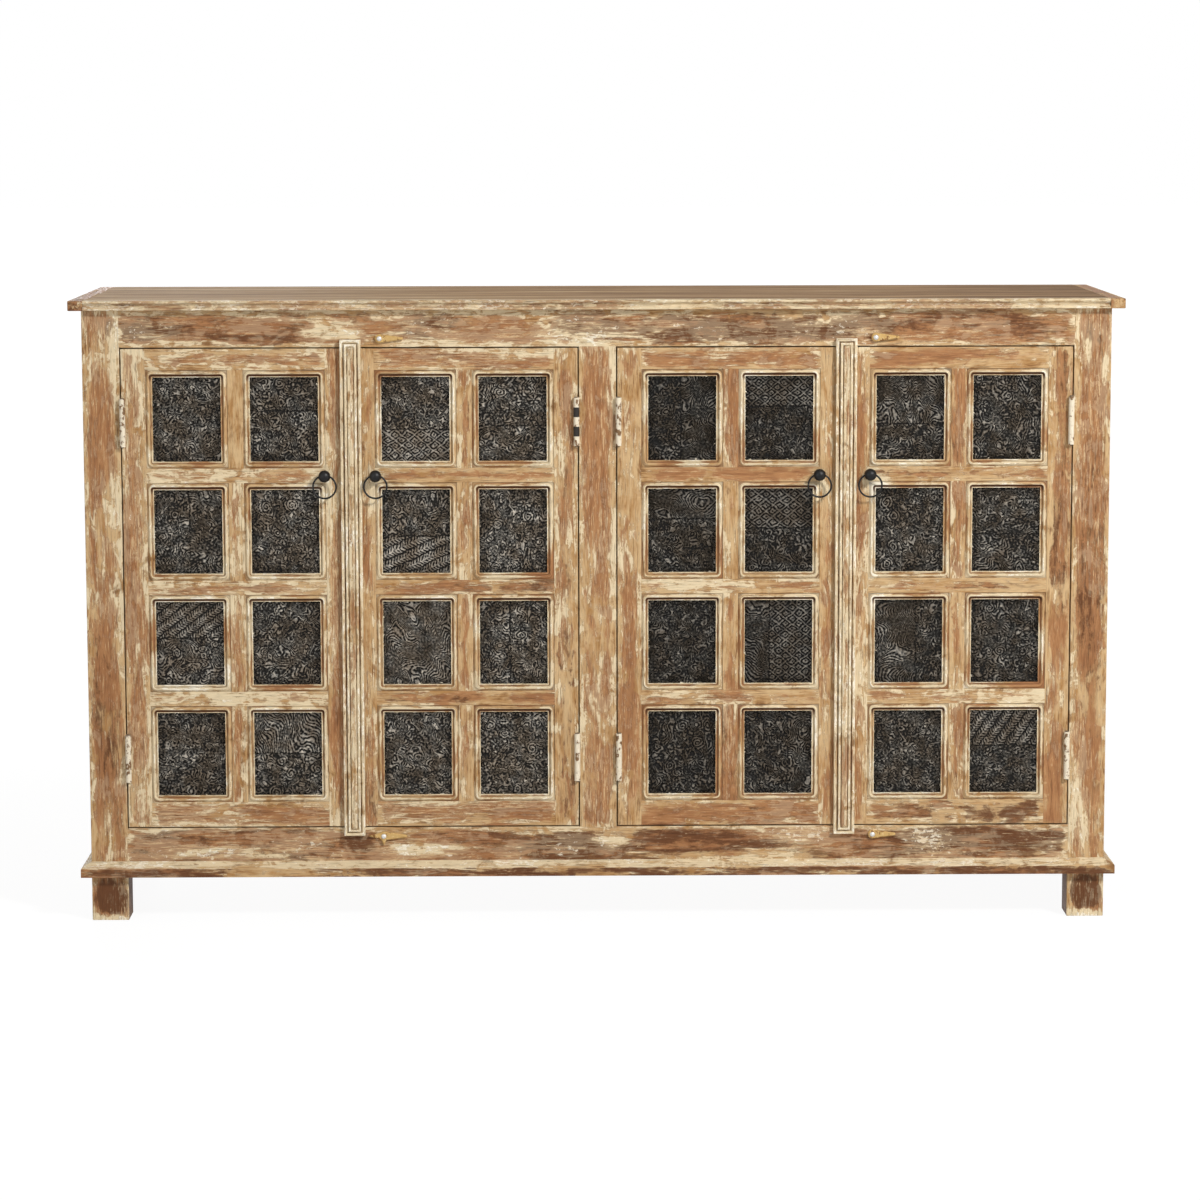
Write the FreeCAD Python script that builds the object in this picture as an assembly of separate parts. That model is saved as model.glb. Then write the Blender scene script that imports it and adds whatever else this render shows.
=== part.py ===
import FreeCAD, Part
import math
import os

V = FreeCAD.Vector
ALONG_X = V(1, 0, 0)
ALONG_Y = V(0, 1, 0)
ALONG_Z = V(0, 0, 1)

# All sizes are in millimetres. X runs to the right, Y to the back, Z up.
# The pieces are modelled with the front face of the cabinet at Y = 0 and the floor at Z = 0,
# and are moved to the origin, the bottom centre of the whole cabinet, when they are written.

# Carcass
overall_height = 1015.0
body_width = 1660.0
body_depth = 446.0
post_width = 60.0
leg_height = 74.0
frame_thickness = 25.0
top_rail_height = 60.0
bottom_rail_height = 79.0
centre_stile_width = 60.0

# Joinery
tenon_length = 18.0
tenon_thickness = 8.0
tenon_shoulder = 8.0
groove_depth = 7.0
joint_play = 0.2
cut_overrun = 1.0

# Top
top_thickness = 16.0
top_front_overhang = 14.0
top_side_overhang = 20.0
top_edging_width = 24.0
top_board_count = 3
top_nosing_radius = 2.5
top_bead_radius = 2.0
top_cove_depth = 2.5
top_end_chamfer = 1.0

# Base moulding
base_moulding_height = 20.0
base_moulding_width = 16.0
base_moulding_shoulder = 4.0
base_moulding_radius = 3.0

# Side and back panels
side_panel_thickness = 12.0
back_panel_thickness = 10.0

# Inside
floor_thickness = 16.0
partition_thickness = 18.0
shelf_thickness = 18.0
shelf_rise = 384.0
shelf_setback = 30.0
cleat_size = 20.0

# Doors
door_gap = 2.0
door_thickness = 22.0
door_stile_width = 39.0
door_upright_width = 25.0
door_top_rail_height = 35.0
door_cross_rail_height = 24.0
door_bottom_rail_height = 41.0
panel_columns = 2
panel_rows = 4

# Carved panels and the moulded rim round each
panel_tongue = 6.0
panel_tongue_thickness = 8.0
panel_back_setback = 4.0
rim_groove_width = 2.0
rim_groove_depth = 2.5
rim_bead_width = 6.0
rim_bead_rise = 2.0
rim_bead_round = 2.0
rim_corner_radius = 9.0
rim_ledge_width = 3.0
rim_ledge_depth = 1.5
panel_field_depth = 6.0

# Hinges
hinge_length = 78.0
hinge_top_margin = 80.0
hinge_bottom_margin = 75.0
hinge_offset = 3.0
hinge_clearance = 0.3
knuckle_radius = 4.7
knuckle_count = 5
hinge_pin_radius = 2.0
hinge_pin_fit = 0.05
hinge_pin_end = 1.5
hinge_pin_head_radius = 3.4
hinge_leaf_thickness = 1.8
hinge_leaf_depth = 18.0

# Ring pulls
pull_offset = 41.0
pull_ball_radius = 9.8
pull_ball_stand = 14.0
pull_neck_radius = 4.0
pull_rosette_radius = 8.5
pull_rosette_thickness = 1.5
pull_screw_radius = 2.5
pull_screw_length = 14.0
pull_screw_fit = 0.05
ring_radius = 18.6
ring_wire_radius = 1.5
ring_clearance = 0.3

# Cover strips over the meeting stiles
strip_width = 34.0
strip_thickness = 12.0
strip_offset = 2.0
strip_lap = 12.5
strip_relief = 0.4
strip_border_width = 5.0
strip_border_height = 9.0
strip_groove_width = 2.0
strip_groove_height = 5.0
strip_band_width = 4.0
strip_band_height = 11.0
strip_channel_width = 1.5
strip_channel_height = 8.0
strip_edge_round = 1.0

# Turn buttons
button_offset = 49.0
button_margin = 14.0
button_length = 38.0
button_head_radius = 7.0
button_tip_radius = 2.2
button_thickness = 5.5
button_bevel = 1.6
button_stand = 0.4
button_tail_length = 24.0
button_tail_half_width = 5.5
button_lobe_reach = 15.0
button_lobe_half_width = 4.0
button_screw_radius = 2.0
button_screw_fit = 0.05
button_screw_length = 18.0
button_screw_head_radius = 4.2
button_screw_head_height = 2.4
button_screw_gap = 0.3

# Places worked out from the sizes above
half_body = body_width / 2
post_inner_x = half_body - post_width
top_under_z = overall_height - top_thickness
opening_top_z = top_under_z - top_rail_height
opening_bottom_z = leg_height + bottom_rail_height
half_stile = centre_stile_width / 2
leaf_width = (post_inner_x - half_stile - 3 * door_gap) / 2
door_bottom_z = opening_bottom_z + door_gap
door_height = opening_top_z - opening_bottom_z - 2 * door_gap
pane_width = (leaf_width - 2 * door_stile_width - (panel_columns - 1) * door_upright_width) / panel_columns
pane_stack = door_height - door_top_rail_height - door_bottom_rail_height
pane_height = (pane_stack - (panel_rows - 1) * door_cross_rail_height) / panel_rows
hinge_stand = knuckle_radius + hinge_clearance
hinge_starts = (hinge_bottom_margin, door_height - hinge_top_margin - hinge_length)
shelf_under_z = opening_bottom_z + shelf_rise
ring_sag = ring_radius - math.sqrt(ring_radius ** 2 - pull_ball_radius ** 2)
ring_bore_radius = ring_sag / 2 + ring_wire_radius + ring_clearance
ring_drop = ring_radius - ring_sag / 2
pull_projection = pull_ball_stand + pull_ball_radius
front_reach = max(pull_projection, strip_thickness, base_moulding_width, top_front_overhang)
face_y = (front_reach - body_depth) / 2


def block(x, y, z):
    """Box between a low and a high limit along each axis."""
    return Part.makeBox(x[1] - x[0], y[1] - y[0], z[1] - z[0], V(x[0], y[0], z[0]))


def grown(limits, by):
    return (limits[0] - by, limits[1] + by)


def mirrored(limits):
    return (-limits[1], -limits[0])


def rod(radius, length, start, direction):
    return Part.makeCylinder(radius, length, start, direction)


def extruded(points, direction):
    """Prism on a closed outline of points, or of edges that already join up."""
    wire = Part.Wire(points) if isinstance(points[0], Part.Edge) else Part.makePolygon(points + points[:1])
    return Part.Face(wire).extrude(direction)


def line(start, end):
    return Part.LineSegment(start, end).toShape()


def arc(start, middle, end):
    return Part.Arc(start, middle, end).toShape()


def cut_all(shape, cutters):
    for cutter in cutters:
        shape = shape.cut(cutter)
    return shape


def write(node, solids):
    """Move the solids of one node to the cabinet's own origin and write them to one file."""
    shape = solids[0] if len(solids) == 1 else Part.makeCompound(solids)
    placed = shape.copy()
    placed.translate(V(0, face_y, 0))
    placed.exportStep("parts/" + node + ".step")


# Limits of the main members along each axis
front_y = (0, frame_thickness)
back_y = (body_depth - frame_thickness, body_depth)
front_post_y = (0, post_width)
back_post_y = (body_depth - post_width, body_depth)
between_posts_x = (-post_inner_x, post_inner_x)
between_posts_y = (post_width, body_depth - post_width)
right_post_x = (post_inner_x, half_body)
right_rail_x = (half_body - frame_thickness, half_body)
top_rail_z = (opening_top_z, top_under_z)
bottom_rail_z = (leg_height, opening_bottom_z)
opening_z = (opening_bottom_z, opening_top_z)


def middle_band(limits, thickness):
    """Limits of a layer of this thickness in the middle of a member."""
    middle = (limits[0] + limits[1]) / 2
    return (middle - thickness / 2, middle + thickness / 2)


def rail_along_x(y, z, play=0.0):
    """Rail between two posts, with its tenons, or only the tenons grown by the play as a cutter."""
    tenon_y = grown(middle_band(y, tenon_thickness), play)
    tenon_z = grown(grown(z, -tenon_shoulder), play)
    tenons = block(grown(between_posts_x, tenon_length + play), tenon_y, tenon_z)
    if play:
        return tenons
    return block(between_posts_x, y, z).fuse(tenons).removeSplitter()


def rail_along_y(x, z, play=0.0):
    tenon_x = grown(middle_band(x, tenon_thickness), play)
    tenon_z = grown(grown(z, -tenon_shoulder), play)
    tenons = block(tenon_x, grown(between_posts_y, tenon_length + play), tenon_z)
    if play:
        return tenons
    return block(x, between_posts_y, z).fuse(tenons).removeSplitter()


def centre_stile_solid(play=0.0):
    tenon_x = grown(grown((-half_stile, half_stile), -tenon_shoulder), play)
    tenon_y = grown(middle_band(front_y, tenon_thickness), play)
    tenons = block(tenon_x, tenon_y, grown(opening_z, tenon_length + play))
    if play:
        return tenons
    return block((-half_stile, half_stile), front_y, opening_z).fuse(tenons).removeSplitter()


def side_panel(x, play=0.0):
    """Panel held by its edges in the grooves of the posts and rails."""
    panel_x = grown(middle_band(x, side_panel_thickness), play)
    reach = groove_depth - joint_play + play
    return block(panel_x, grown(between_posts_y, reach), grown(opening_z, reach))


def back_panel(play=0.0):
    panel_y = grown(middle_band(back_y, back_panel_thickness), play)
    reach = groove_depth - joint_play + play
    return block(grown(between_posts_x, reach), panel_y, grown(opening_z, reach))


# Doors, numbered from left to right, each with the X of its left edge and its hinge side
door_starts = []
for pair_start in (-post_inner_x, half_stile):
    for leaf in range(2):
        door_starts.append(pair_start + door_gap + leaf * (leaf_width + door_gap))
hinge_sides = (-1, 1, -1, 1)
meeting_lines = (door_starts[1] - door_gap / 2, door_starts[3] - door_gap / 2)


def hinge_axis_x(door):
    start = door_starts[door]
    if hinge_sides[door] < 0:
        return start - door_gap / 2 + hinge_offset
    return start + leaf_width + door_gap / 2 - hinge_offset


def placed_hinge(shape, door, start_z):
    """Move a piece of a left-hand hinge, drawn round its own axis, to one place on a door."""
    moved = shape.copy()
    if hinge_sides[door] > 0:
        moved = moved.mirror(V(0, 0, 0), ALONG_X)
    moved.translate(V(hinge_axis_x(door), -hinge_stand, door_bottom_z + start_z))
    return moved


def leaf_plate_limits(side):
    """Limits across the gap of the leaf on the door (1) or on the frame (-1)."""
    near = -hinge_offset + side * hinge_clearance / 3
    far = near + side * hinge_leaf_thickness
    return (min(near, far), max(near, far))


def hinge_leaf(side, first_knuckle):
    """Leaf plate with every second knuckle, counted from the first that it holds."""
    plate_x = leaf_plate_limits(side)
    plate_start = hinge_stand + hinge_clearance
    leaf = block(plate_x, (plate_start, plate_start + hinge_leaf_depth), (0, hinge_length))
    knuckle_length = hinge_length / knuckle_count
    for index in range(first_knuckle, knuckle_count, 2):
        low = index * knuckle_length + hinge_clearance / 2
        height = knuckle_length - hinge_clearance
        leaf = leaf.fuse(rod(knuckle_radius, height, V(0, 0, low), ALONG_Z))
        leaf = leaf.fuse(block(plate_x, (0, plate_start), (low, low + height)))
    bore_radius = hinge_pin_radius + hinge_pin_fit
    bore_start = V(0, 0, -cut_overrun)
    bore = rod(bore_radius, hinge_length + 2 * cut_overrun, bore_start, ALONG_Z)
    return leaf.removeSplitter().cut(bore)


def hinge_mortise(side):
    """Pocket in the edge of the door or frame that the leaf plate lies in."""
    plate_x = leaf_plate_limits(side)
    plate_end = hinge_stand + hinge_clearance + hinge_leaf_depth
    return block(plate_x, (-cut_overrun, plate_end + joint_play), grown((0, hinge_length), joint_play))


def hinge_pin():
    """Pin with a head on the top knuckle and a rounded tip below the bottom one."""
    shank_length = hinge_length + hinge_pin_end
    pin = rod(hinge_pin_radius, shank_length, V(0, 0, -hinge_pin_end), ALONG_Z)
    head = rod(hinge_pin_head_radius, hinge_pin_end, V(0, 0, hinge_length), ALONG_Z)
    head = head.makeFillet(hinge_pin_end / 2, [edge for edge in head.Edges if edge.BoundBox.ZMin > hinge_length])
    return pin.fuse(head).removeSplitter()


def frame_hinge_mortises():
    mortise = hinge_mortise(-1)
    return [placed_hinge(mortise, door, start) for door in range(4) for start in hinge_starts]


def button_pivots():
    """X, Z and the upward or downward side of the four turn button screws."""
    pivots = []
    for line_x in meeting_lines:
        pivots.append((line_x + button_offset, opening_top_z + button_margin, 1))
        pivots.append((line_x + button_offset, opening_bottom_z - button_margin, -1))
    return pivots


def button_screw_bores():
    radius = button_screw_radius + button_screw_fit
    length = button_screw_length + cut_overrun
    return [rod(radius, length, V(x, 0, z), ALONG_Y) for x, z, side in button_pivots()]


def post(x, y):
    """Corner post: leg, corner of the frame and stile in one length of timber."""
    cutters = [rail_along_x(rail_y, z, joint_play) for rail_y in (front_y, back_y) for z in (top_rail_z, bottom_rail_z)]
    for rail_x in (right_rail_x, mirrored(right_rail_x)):
        cutters += [rail_along_y(rail_x, z, joint_play) for z in (top_rail_z, bottom_rail_z)]
        cutters.append(side_panel(rail_x, joint_play))
    cutters.append(back_panel(joint_play))
    cutters += frame_hinge_mortises()
    return cut_all(block(x, y, (0, top_under_z)), cutters)


def front_rail(z):
    rail = rail_along_x(front_y, z)
    return cut_all(rail, [centre_stile_solid(joint_play)] + button_screw_bores())


def side_rails():
    rails = []
    for x in (mirrored(right_rail_x), right_rail_x):
        for z in (bottom_rail_z, top_rail_z):
            rails.append(rail_along_y(x, z).cut(side_panel(x, joint_play)))
    return rails


def back_rails():
    return [rail_along_x(back_y, z).cut(back_panel(joint_play)) for z in (bottom_rail_z, top_rail_z)]


def post_blocks(play):
    """The four posts as plain cutters, for boards that are notched round them."""
    blocks = []
    for x in (mirrored(right_post_x), right_post_x):
        for y in (front_post_y, back_post_y):
            blocks.append(block(grown(x, play), grown(y, play), (-cut_overrun, overall_height)))
    return blocks


def floor_board():
    x = grown((-half_body + frame_thickness, half_body - frame_thickness), -joint_play)
    y = grown((frame_thickness, body_depth - frame_thickness), -joint_play)
    z = (opening_bottom_z - floor_thickness, opening_bottom_z)
    return cut_all(block(x, y, z), post_blocks(joint_play))


def floor_cleats():
    """Strips on the front and back rails that carry the floor."""
    top = opening_bottom_z - floor_thickness
    z = (top - cleat_size, top)
    front = block(between_posts_x, (frame_thickness, frame_thickness + cleat_size), z)
    back = block(between_posts_x, (back_y[0] - cleat_size, back_y[0]), z)
    return [front, back]


def centre_partition():
    half = partition_thickness / 2
    return block((-half, half), (frame_thickness, back_y[0]), (opening_bottom_z, top_under_z))


def shelf(side):
    half = partition_thickness / 2
    x = (half + joint_play, half_body - frame_thickness - joint_play)
    if side < 0:
        x = mirrored(x)
    y = (shelf_setback, back_y[0] - joint_play)
    return cut_all(block(x, y, (shelf_under_z, shelf_under_z + shelf_thickness)), post_blocks(joint_play))


def shelf_cleats():
    """Strips under the shelf ends, between the posts and on both sides of the partition."""
    half = partition_thickness / 2
    z = (shelf_under_z - cleat_size, shelf_under_z)
    outer_x = (right_rail_x[0] - cleat_size, right_rail_x[0])
    inner_x = (half, half + cleat_size)
    cleats = []
    for x, y in ((outer_x, between_posts_y), (inner_x, (shelf_setback, back_y[0]))):
        cleats.append(block(mirrored(x), y, z))
        cleats.append(block(x, y, z))
    return cleats


def top_boards():
    """Boards glued edge to edge inside the edging."""
    half_length = half_body + top_side_overhang - top_edging_width
    start = top_edging_width - top_front_overhang
    board_width = (body_depth - start) / top_board_count
    boards = []
    for index in range(top_board_count):
        low = start + index * board_width
        boards.append(block((-half_length, half_length), (low, low + board_width), (top_under_z, overall_height)))
    return boards


def top_edge_front():
    """Front edging with a nosing at the top, a cove below it and a bead at the bottom."""
    half_length = half_body + top_side_overhang - top_edging_width
    x = -half_length
    inner = top_edging_width - top_front_overhang
    bead_y = -top_front_overhang + top_bead_radius
    nosing_y = -top_front_overhang + top_nosing_radius
    bead_top = top_under_z + 2 * top_bead_radius
    nosing_bottom = overall_height - 2 * top_nosing_radius
    cove_y = (bead_y + nosing_y) / 2 + top_cove_depth
    cove_z = (bead_top + nosing_bottom) / 2
    bead_side = V(x, -top_front_overhang, top_under_z + top_bead_radius)
    nosing_side = V(x, -top_front_overhang, overall_height - top_nosing_radius)
    edges = [
        line(V(x, inner, overall_height), V(x, inner, top_under_z)),
        line(V(x, inner, top_under_z), V(x, bead_y, top_under_z)),
        arc(V(x, bead_y, top_under_z), bead_side, V(x, bead_y, bead_top)),
        arc(V(x, bead_y, bead_top), V(x, cove_y, cove_z), V(x, nosing_y, nosing_bottom)),
        arc(V(x, nosing_y, nosing_bottom), nosing_side, V(x, nosing_y, overall_height)),
        line(V(x, nosing_y, overall_height), V(x, inner, overall_height)),
    ]
    return extruded(edges, V(2 * half_length, 0, 0))


def top_edge_sides():
    """Plain edging along both ends, with the outer edges eased."""
    outer = half_body + top_side_overhang
    pieces = []
    for x in ((outer - top_edging_width, outer), (-outer, -outer + top_edging_width)):
        piece = block(x, (-top_front_overhang, body_depth), (top_under_z, overall_height))
        outside = [edge for edge in piece.Edges if edge.BoundBox.XMin * edge.BoundBox.XMax > 0
                   and min(abs(edge.BoundBox.XMin), abs(edge.BoundBox.XMax)) > outer - joint_play]
        pieces.append(piece.makeChamfer(top_end_chamfer, outside))
    return pieces


def moulding_profile(out, up):
    """Base moulding section against a wall: flat face, ovolo and a sloping top."""
    foot = V(0, 0, leg_height)
    face_top = base_moulding_height - base_moulding_shoulder - base_moulding_radius
    slope_start = base_moulding_width - base_moulding_radius
    round_share = 1 - math.sqrt(0.5)
    round_out = base_moulding_width - base_moulding_radius * round_share
    round_up = face_top + base_moulding_radius * (1 - round_share)
    toe = foot + out * base_moulding_width
    face_end = toe + up * face_top
    slope_end = foot + out * slope_start + up * (face_top + base_moulding_radius)
    wall_end = foot + up * base_moulding_height
    return [
        line(foot, toe),
        line(toe, face_end),
        arc(face_end, foot + out * round_out + up * round_up, slope_end),
        line(slope_end, wall_end),
        line(wall_end, foot),
    ]


def mitre_wedge(side, outer_point):
    """Wedge on one side of the mitre line at a front corner, up to a point beside the line."""
    reach = 2 * base_moulding_width
    corner = V(side * half_body, 0, leg_height - cut_overrun)
    points = [corner, corner + V(side * reach, -reach, 0), corner + outer_point * reach]
    return extruded(points, V(0, 0, base_moulding_height + 2 * cut_overrun))


def base_moulding_front():
    half_length = half_body + base_moulding_width
    bar = extruded(moulding_profile(-ALONG_Y, ALONG_Z), V(2 * half_length, 0, 0))
    bar.translate(V(-half_length, 0, 0))
    return cut_all(bar, [mitre_wedge(side, side * ALONG_X) for side in (-1, 1)])


def base_moulding_sides():
    pieces = []
    for side in (-1, 1):
        bar = extruded(moulding_profile(side * ALONG_X, ALONG_Z), V(0, body_depth + base_moulding_width, 0))
        bar.translate(V(side * half_body, -base_moulding_width, 0))
        pieces.append(bar.cut(mitre_wedge(side, -ALONG_Y)))
    return pieces


# One door leaf, drawn with its lower left front corner at the origin
def door_pane_origins():
    """Lower left corner of every panel opening, from the top row down."""
    origins = []
    for row in range(panel_rows):
        top = door_height - door_top_rail_height - row * (pane_height + door_cross_rail_height)
        for column in range(panel_columns):
            left = door_stile_width + column * (pane_width + door_upright_width)
            origins.append((left, top - pane_height))
    return origins


def pane_grooves():
    """Grooves in the door's members that the tongues of the carved panels lie in."""
    y = grown(middle_band((0, door_thickness), panel_tongue_thickness), joint_play)
    reach = panel_tongue + joint_play
    cutters = []
    for left, low in door_pane_origins():
        cutters.append(block(grown((left, left + pane_width), reach), y, grown((low, low + pane_height), reach)))
    return cutters


def door_rail_limits():
    """Low and high Z of the top rail, the cross rails and the bottom rail."""
    limits = [(door_height - door_top_rail_height, door_height)]
    for row in range(1, panel_rows):
        high = door_height - door_top_rail_height - row * pane_height - (row - 1) * door_cross_rail_height
        limits.append((high - door_cross_rail_height, high))
    limits.append((0, door_bottom_rail_height))
    return limits


def door_tenons(play=0.0):
    x = grown((door_stile_width, leaf_width - door_stile_width), tenon_length + play)
    y = grown(middle_band((0, door_thickness), tenon_thickness), play)
    return [block(x, y, grown(grown(z, -tenon_shoulder), play)) for z in door_rail_limits()]


def pull_place(door):
    """X and Z of the ring pull on a door leaf, on the cross rail under the top row."""
    line_x = leaf_width + door_gap / 2 - pull_offset if hinge_sides[door] < 0 else pull_offset - door_gap / 2
    low, high = door_rail_limits()[1]
    return line_x, (low + high) / 2


def pull_bore(door):
    x, z = pull_place(door)
    return rod(pull_screw_radius + pull_screw_fit, pull_screw_length + joint_play, V(x, 0, z), ALONG_Y)


def on_door(solids, door):
    """Move solids from the leaf's own corner to its place in the frame."""
    moved = []
    for solid in solids:
        copy = solid.copy()
        copy.translate(V(door_starts[door], 0, door_bottom_z))
        moved.append(copy)
    return moved


def door_stiles(door):
    y = (0, door_thickness)
    cutters = door_tenons(joint_play) + pane_grooves() + [pull_bore(door)]
    left = block((0, door_stile_width), y, (0, door_height))
    right = block((leaf_width - door_stile_width, leaf_width), y, (0, door_height))
    placed = on_door([cut_all(left, cutters), cut_all(right, cutters)], door)
    mortises = [placed_hinge(hinge_mortise(1), door, start) for start in hinge_starts]
    return [cut_all(stile, mortises) for stile in placed]


def door_rails(door):
    x = (door_stile_width, leaf_width - door_stile_width)
    rails = []
    for z, tenon in zip(door_rail_limits(), door_tenons()):
        rail = block(x, (0, door_thickness), z).fuse(tenon).removeSplitter()
        rails.append(cut_all(rail, pane_grooves() + [pull_bore(door)]))
    return on_door(rails, door)


def door_uprights(door):
    """Short uprights between the rails, with the panel grooves in both edges."""
    grooves = pane_grooves()
    uprights = []
    for column in range(1, panel_columns):
        left = door_stile_width + column * pane_width + (column - 1) * door_upright_width
        for row in range(panel_rows):
            low = door_pane_origins()[row * panel_columns][1]
            piece = block((left, left + door_upright_width), (0, door_thickness), (low, low + pane_height))
            uprights.append(cut_all(piece, grooves))
    return on_door(uprights, door)


def rounded_block(x, y, z, radius):
    """Box with its four edges along Y rounded."""
    solid = block(x, y, z)
    depth = y[1] - y[0]
    along_y = [edge for edge in solid.Edges if abs(edge.BoundBox.YLength - depth) < depth / 4
               and edge.BoundBox.XLength + edge.BoundBox.ZLength < depth / 4]
    return solid.makeFillet(radius, along_y)


def carved_panel():
    """Panel block with a tongue all round, a moulded rim and a sunk field for the carving."""
    x = (0, pane_width)
    z = (0, pane_height)
    body = block(grown(x, -joint_play), (rim_groove_depth, door_thickness - panel_back_setback), grown(z, -joint_play))
    tongue_y = middle_band((0, door_thickness), panel_tongue_thickness)
    tongue = block(grown(x, panel_tongue), tongue_y, grown(z, panel_tongue))
    bead_x = grown(x, -rim_groove_width)
    bead_z = grown(z, -rim_groove_width)
    bead = rounded_block(bead_x, (-rim_bead_rise, rim_groove_depth + joint_play), bead_z, rim_corner_radius)
    front = [edge for edge in bead.Edges if edge.BoundBox.YMax < -rim_bead_rise / 2]
    bead = bead.makeFillet(rim_bead_round, front)
    ledge_inset = -(rim_groove_width + rim_bead_width)
    ledge_y = (-rim_bead_rise - cut_overrun, rim_ledge_depth)
    ledge = block(grown(x, ledge_inset), ledge_y, grown(z, ledge_inset))
    field_inset = ledge_inset - rim_ledge_width
    field = block(grown(x, field_inset), (-cut_overrun, panel_field_depth), grown(z, field_inset))
    return body.fuse(tongue).fuse(bead).removeSplitter().cut(ledge).cut(field)


def door_panels(door):
    panel = carved_panel()
    panels = []
    for left, low in door_pane_origins():
        copy = panel.copy()
        copy.translate(V(left, 0, low))
        panels.append(copy)
    return on_door(panels, door)


def pull_post(door):
    """Rosette, neck and drilled ball on a screw that goes into the door."""
    x, z = pull_place(door)
    foot = V(x, 0, z)
    post_shape = rod(pull_rosette_radius, pull_rosette_thickness, foot, -ALONG_Y)
    post_shape = post_shape.fuse(rod(pull_neck_radius, pull_ball_stand, foot, -ALONG_Y))
    post_shape = post_shape.fuse(rod(pull_screw_radius, pull_screw_length, foot, ALONG_Y))
    ball_centre = foot - ALONG_Y * pull_ball_stand
    post_shape = post_shape.fuse(Part.makeSphere(pull_ball_radius, ball_centre))
    half = pull_ball_radius + cut_overrun
    bore = rod(ring_bore_radius, 2 * half, ball_centre - ALONG_X * half, ALONG_X)
    return on_door([post_shape.removeSplitter().cut(bore)], door)


def pull_ring(door):
    """Wire ring that hangs through the ball's bore."""
    x, z = pull_place(door)
    ring = Part.makeTorus(ring_radius, ring_wire_radius, V(x, -pull_ball_stand, z - ring_drop), ALONG_Y)
    return on_door([ring], door)


def strip_layer(inset, height, edge_round):
    """One nested layer of the cover strip, standing on the leaf's face."""
    x = grown((strip_offset - strip_width / 2, strip_offset + strip_width / 2), -inset)
    x = (x[0] - door_gap / 2, x[1] - door_gap / 2)
    z = grown((-door_gap - strip_lap, door_height + door_gap + strip_lap), -inset)
    layer = block(x, (-height, -strip_relief), z)
    if edge_round:
        rim = [edge for edge in layer.Edges if edge.BoundBox.YMax < -height + edge_round]
        layer = layer.makeFillet(edge_round, rim)
    return layer


def cover_strip(door):
    """Strip with a border, a groove, a band, a channel and a raised middle, closed at both ends."""
    steps = (
        (strip_border_width, strip_border_height, strip_edge_round),
        (strip_groove_width, strip_groove_height, 0),
        (strip_band_width, strip_band_height, strip_edge_round),
        (strip_channel_width, strip_channel_height, 0),
    )
    strip = strip_layer(0, strip_groove_height, 0)
    inset = 0
    for width, height, edge_round in steps:
        ring = strip_layer(inset, height, edge_round)
        inset += width
        hollow = strip_layer(inset, strip_thickness + cut_overrun, 0)
        strip = strip.fuse(ring.cut(hollow))
    strip = strip.fuse(strip_layer(inset, strip_thickness, strip_edge_round))
    seat_x = (0, strip_offset + strip_width / 2 - door_gap / 2)
    seat = block(seat_x, (-strip_groove_height, 0), (0, door_height))
    return on_door([strip.fuse(seat).removeSplitter()], door)


def teardrop_outline():
    """Outline round the head circle and the small tip circle, with the tip towards +X."""
    reach = button_length - button_tip_radius
    cosine = (button_head_radius - button_tip_radius) / reach
    sine = math.sqrt(1 - cosine ** 2)
    head_top = V(button_head_radius * cosine, 0, button_head_radius * sine)
    head_low = V(head_top.x, 0, -head_top.z)
    tip_top = V(reach + button_tip_radius * cosine, 0, button_tip_radius * sine)
    tip_low = V(tip_top.x, 0, -tip_top.z)
    return [
        arc(head_low, V(-button_head_radius, 0, 0), head_top),
        line(head_top, tip_top),
        arc(tip_top, V(button_length, 0, 0), tip_low),
        line(tip_low, head_low),
    ]


def bevelled(shape):
    """Bevel the front edges, those at the low end of Y."""
    front = [edge for edge in shape.Edges if edge.BoundBox.YMax < -button_thickness / 2]
    return shape.makeChamfer(button_bevel, front)


def turn_button(pivot, tailed):
    """Teardrop button with its tip to the right, clear of the doors, and a screw hole in its head."""
    thickness = V(0, -button_thickness, 0)
    button = bevelled(extruded(teardrop_outline(), thickness))
    if tailed:
        root = button_head_radius * math.sqrt(0.5)
        tail = [V(0, 0, root), V(-root, 0, button_tail_half_width), V(-button_tail_length, 0, 0),
                V(-root, 0, -button_tail_half_width), V(0, 0, -root)]
        lobe = [V(button_lobe_half_width, 0, 0), V(button_lobe_half_width, 0, -button_head_radius),
                V(0, 0, -button_lobe_reach), V(-button_lobe_half_width, 0, -button_head_radius),
                V(-button_lobe_half_width, 0, 0)]
        for outline in (tail, lobe):
            button = button.fuse(bevelled(extruded(outline, thickness)))
        button = button.removeSplitter()
    bore_start = V(0, cut_overrun, 0)
    bore_length = button_thickness + 2 * cut_overrun
    button = button.cut(rod(button_screw_radius + button_screw_fit, bore_length, bore_start, -ALONG_Y))
    x, z, side = pivot
    button.translate(V(x, -button_stand, z))
    return button


def button_screw(pivot):
    """Domed screw through the button into the rail."""
    x, z, side = pivot
    under_head = button_stand + button_thickness + button_screw_gap
    shank = rod(button_screw_radius, button_screw_length + under_head, V(x, -under_head, z), ALONG_Y)
    rise = button_screw_head_height
    dome_radius = (button_screw_head_radius ** 2 + rise ** 2) / (2 * rise)
    dome = Part.makeSphere(dome_radius, V(x, dome_radius - rise - under_head, z))
    half = dome_radius + cut_overrun
    keep = block(grown((x, x), half), (-under_head - half, -under_head), grown((z, z), half))
    return shank.fuse(dome.common(keep)).removeSplitter()


os.makedirs("parts", exist_ok=True)

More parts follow.
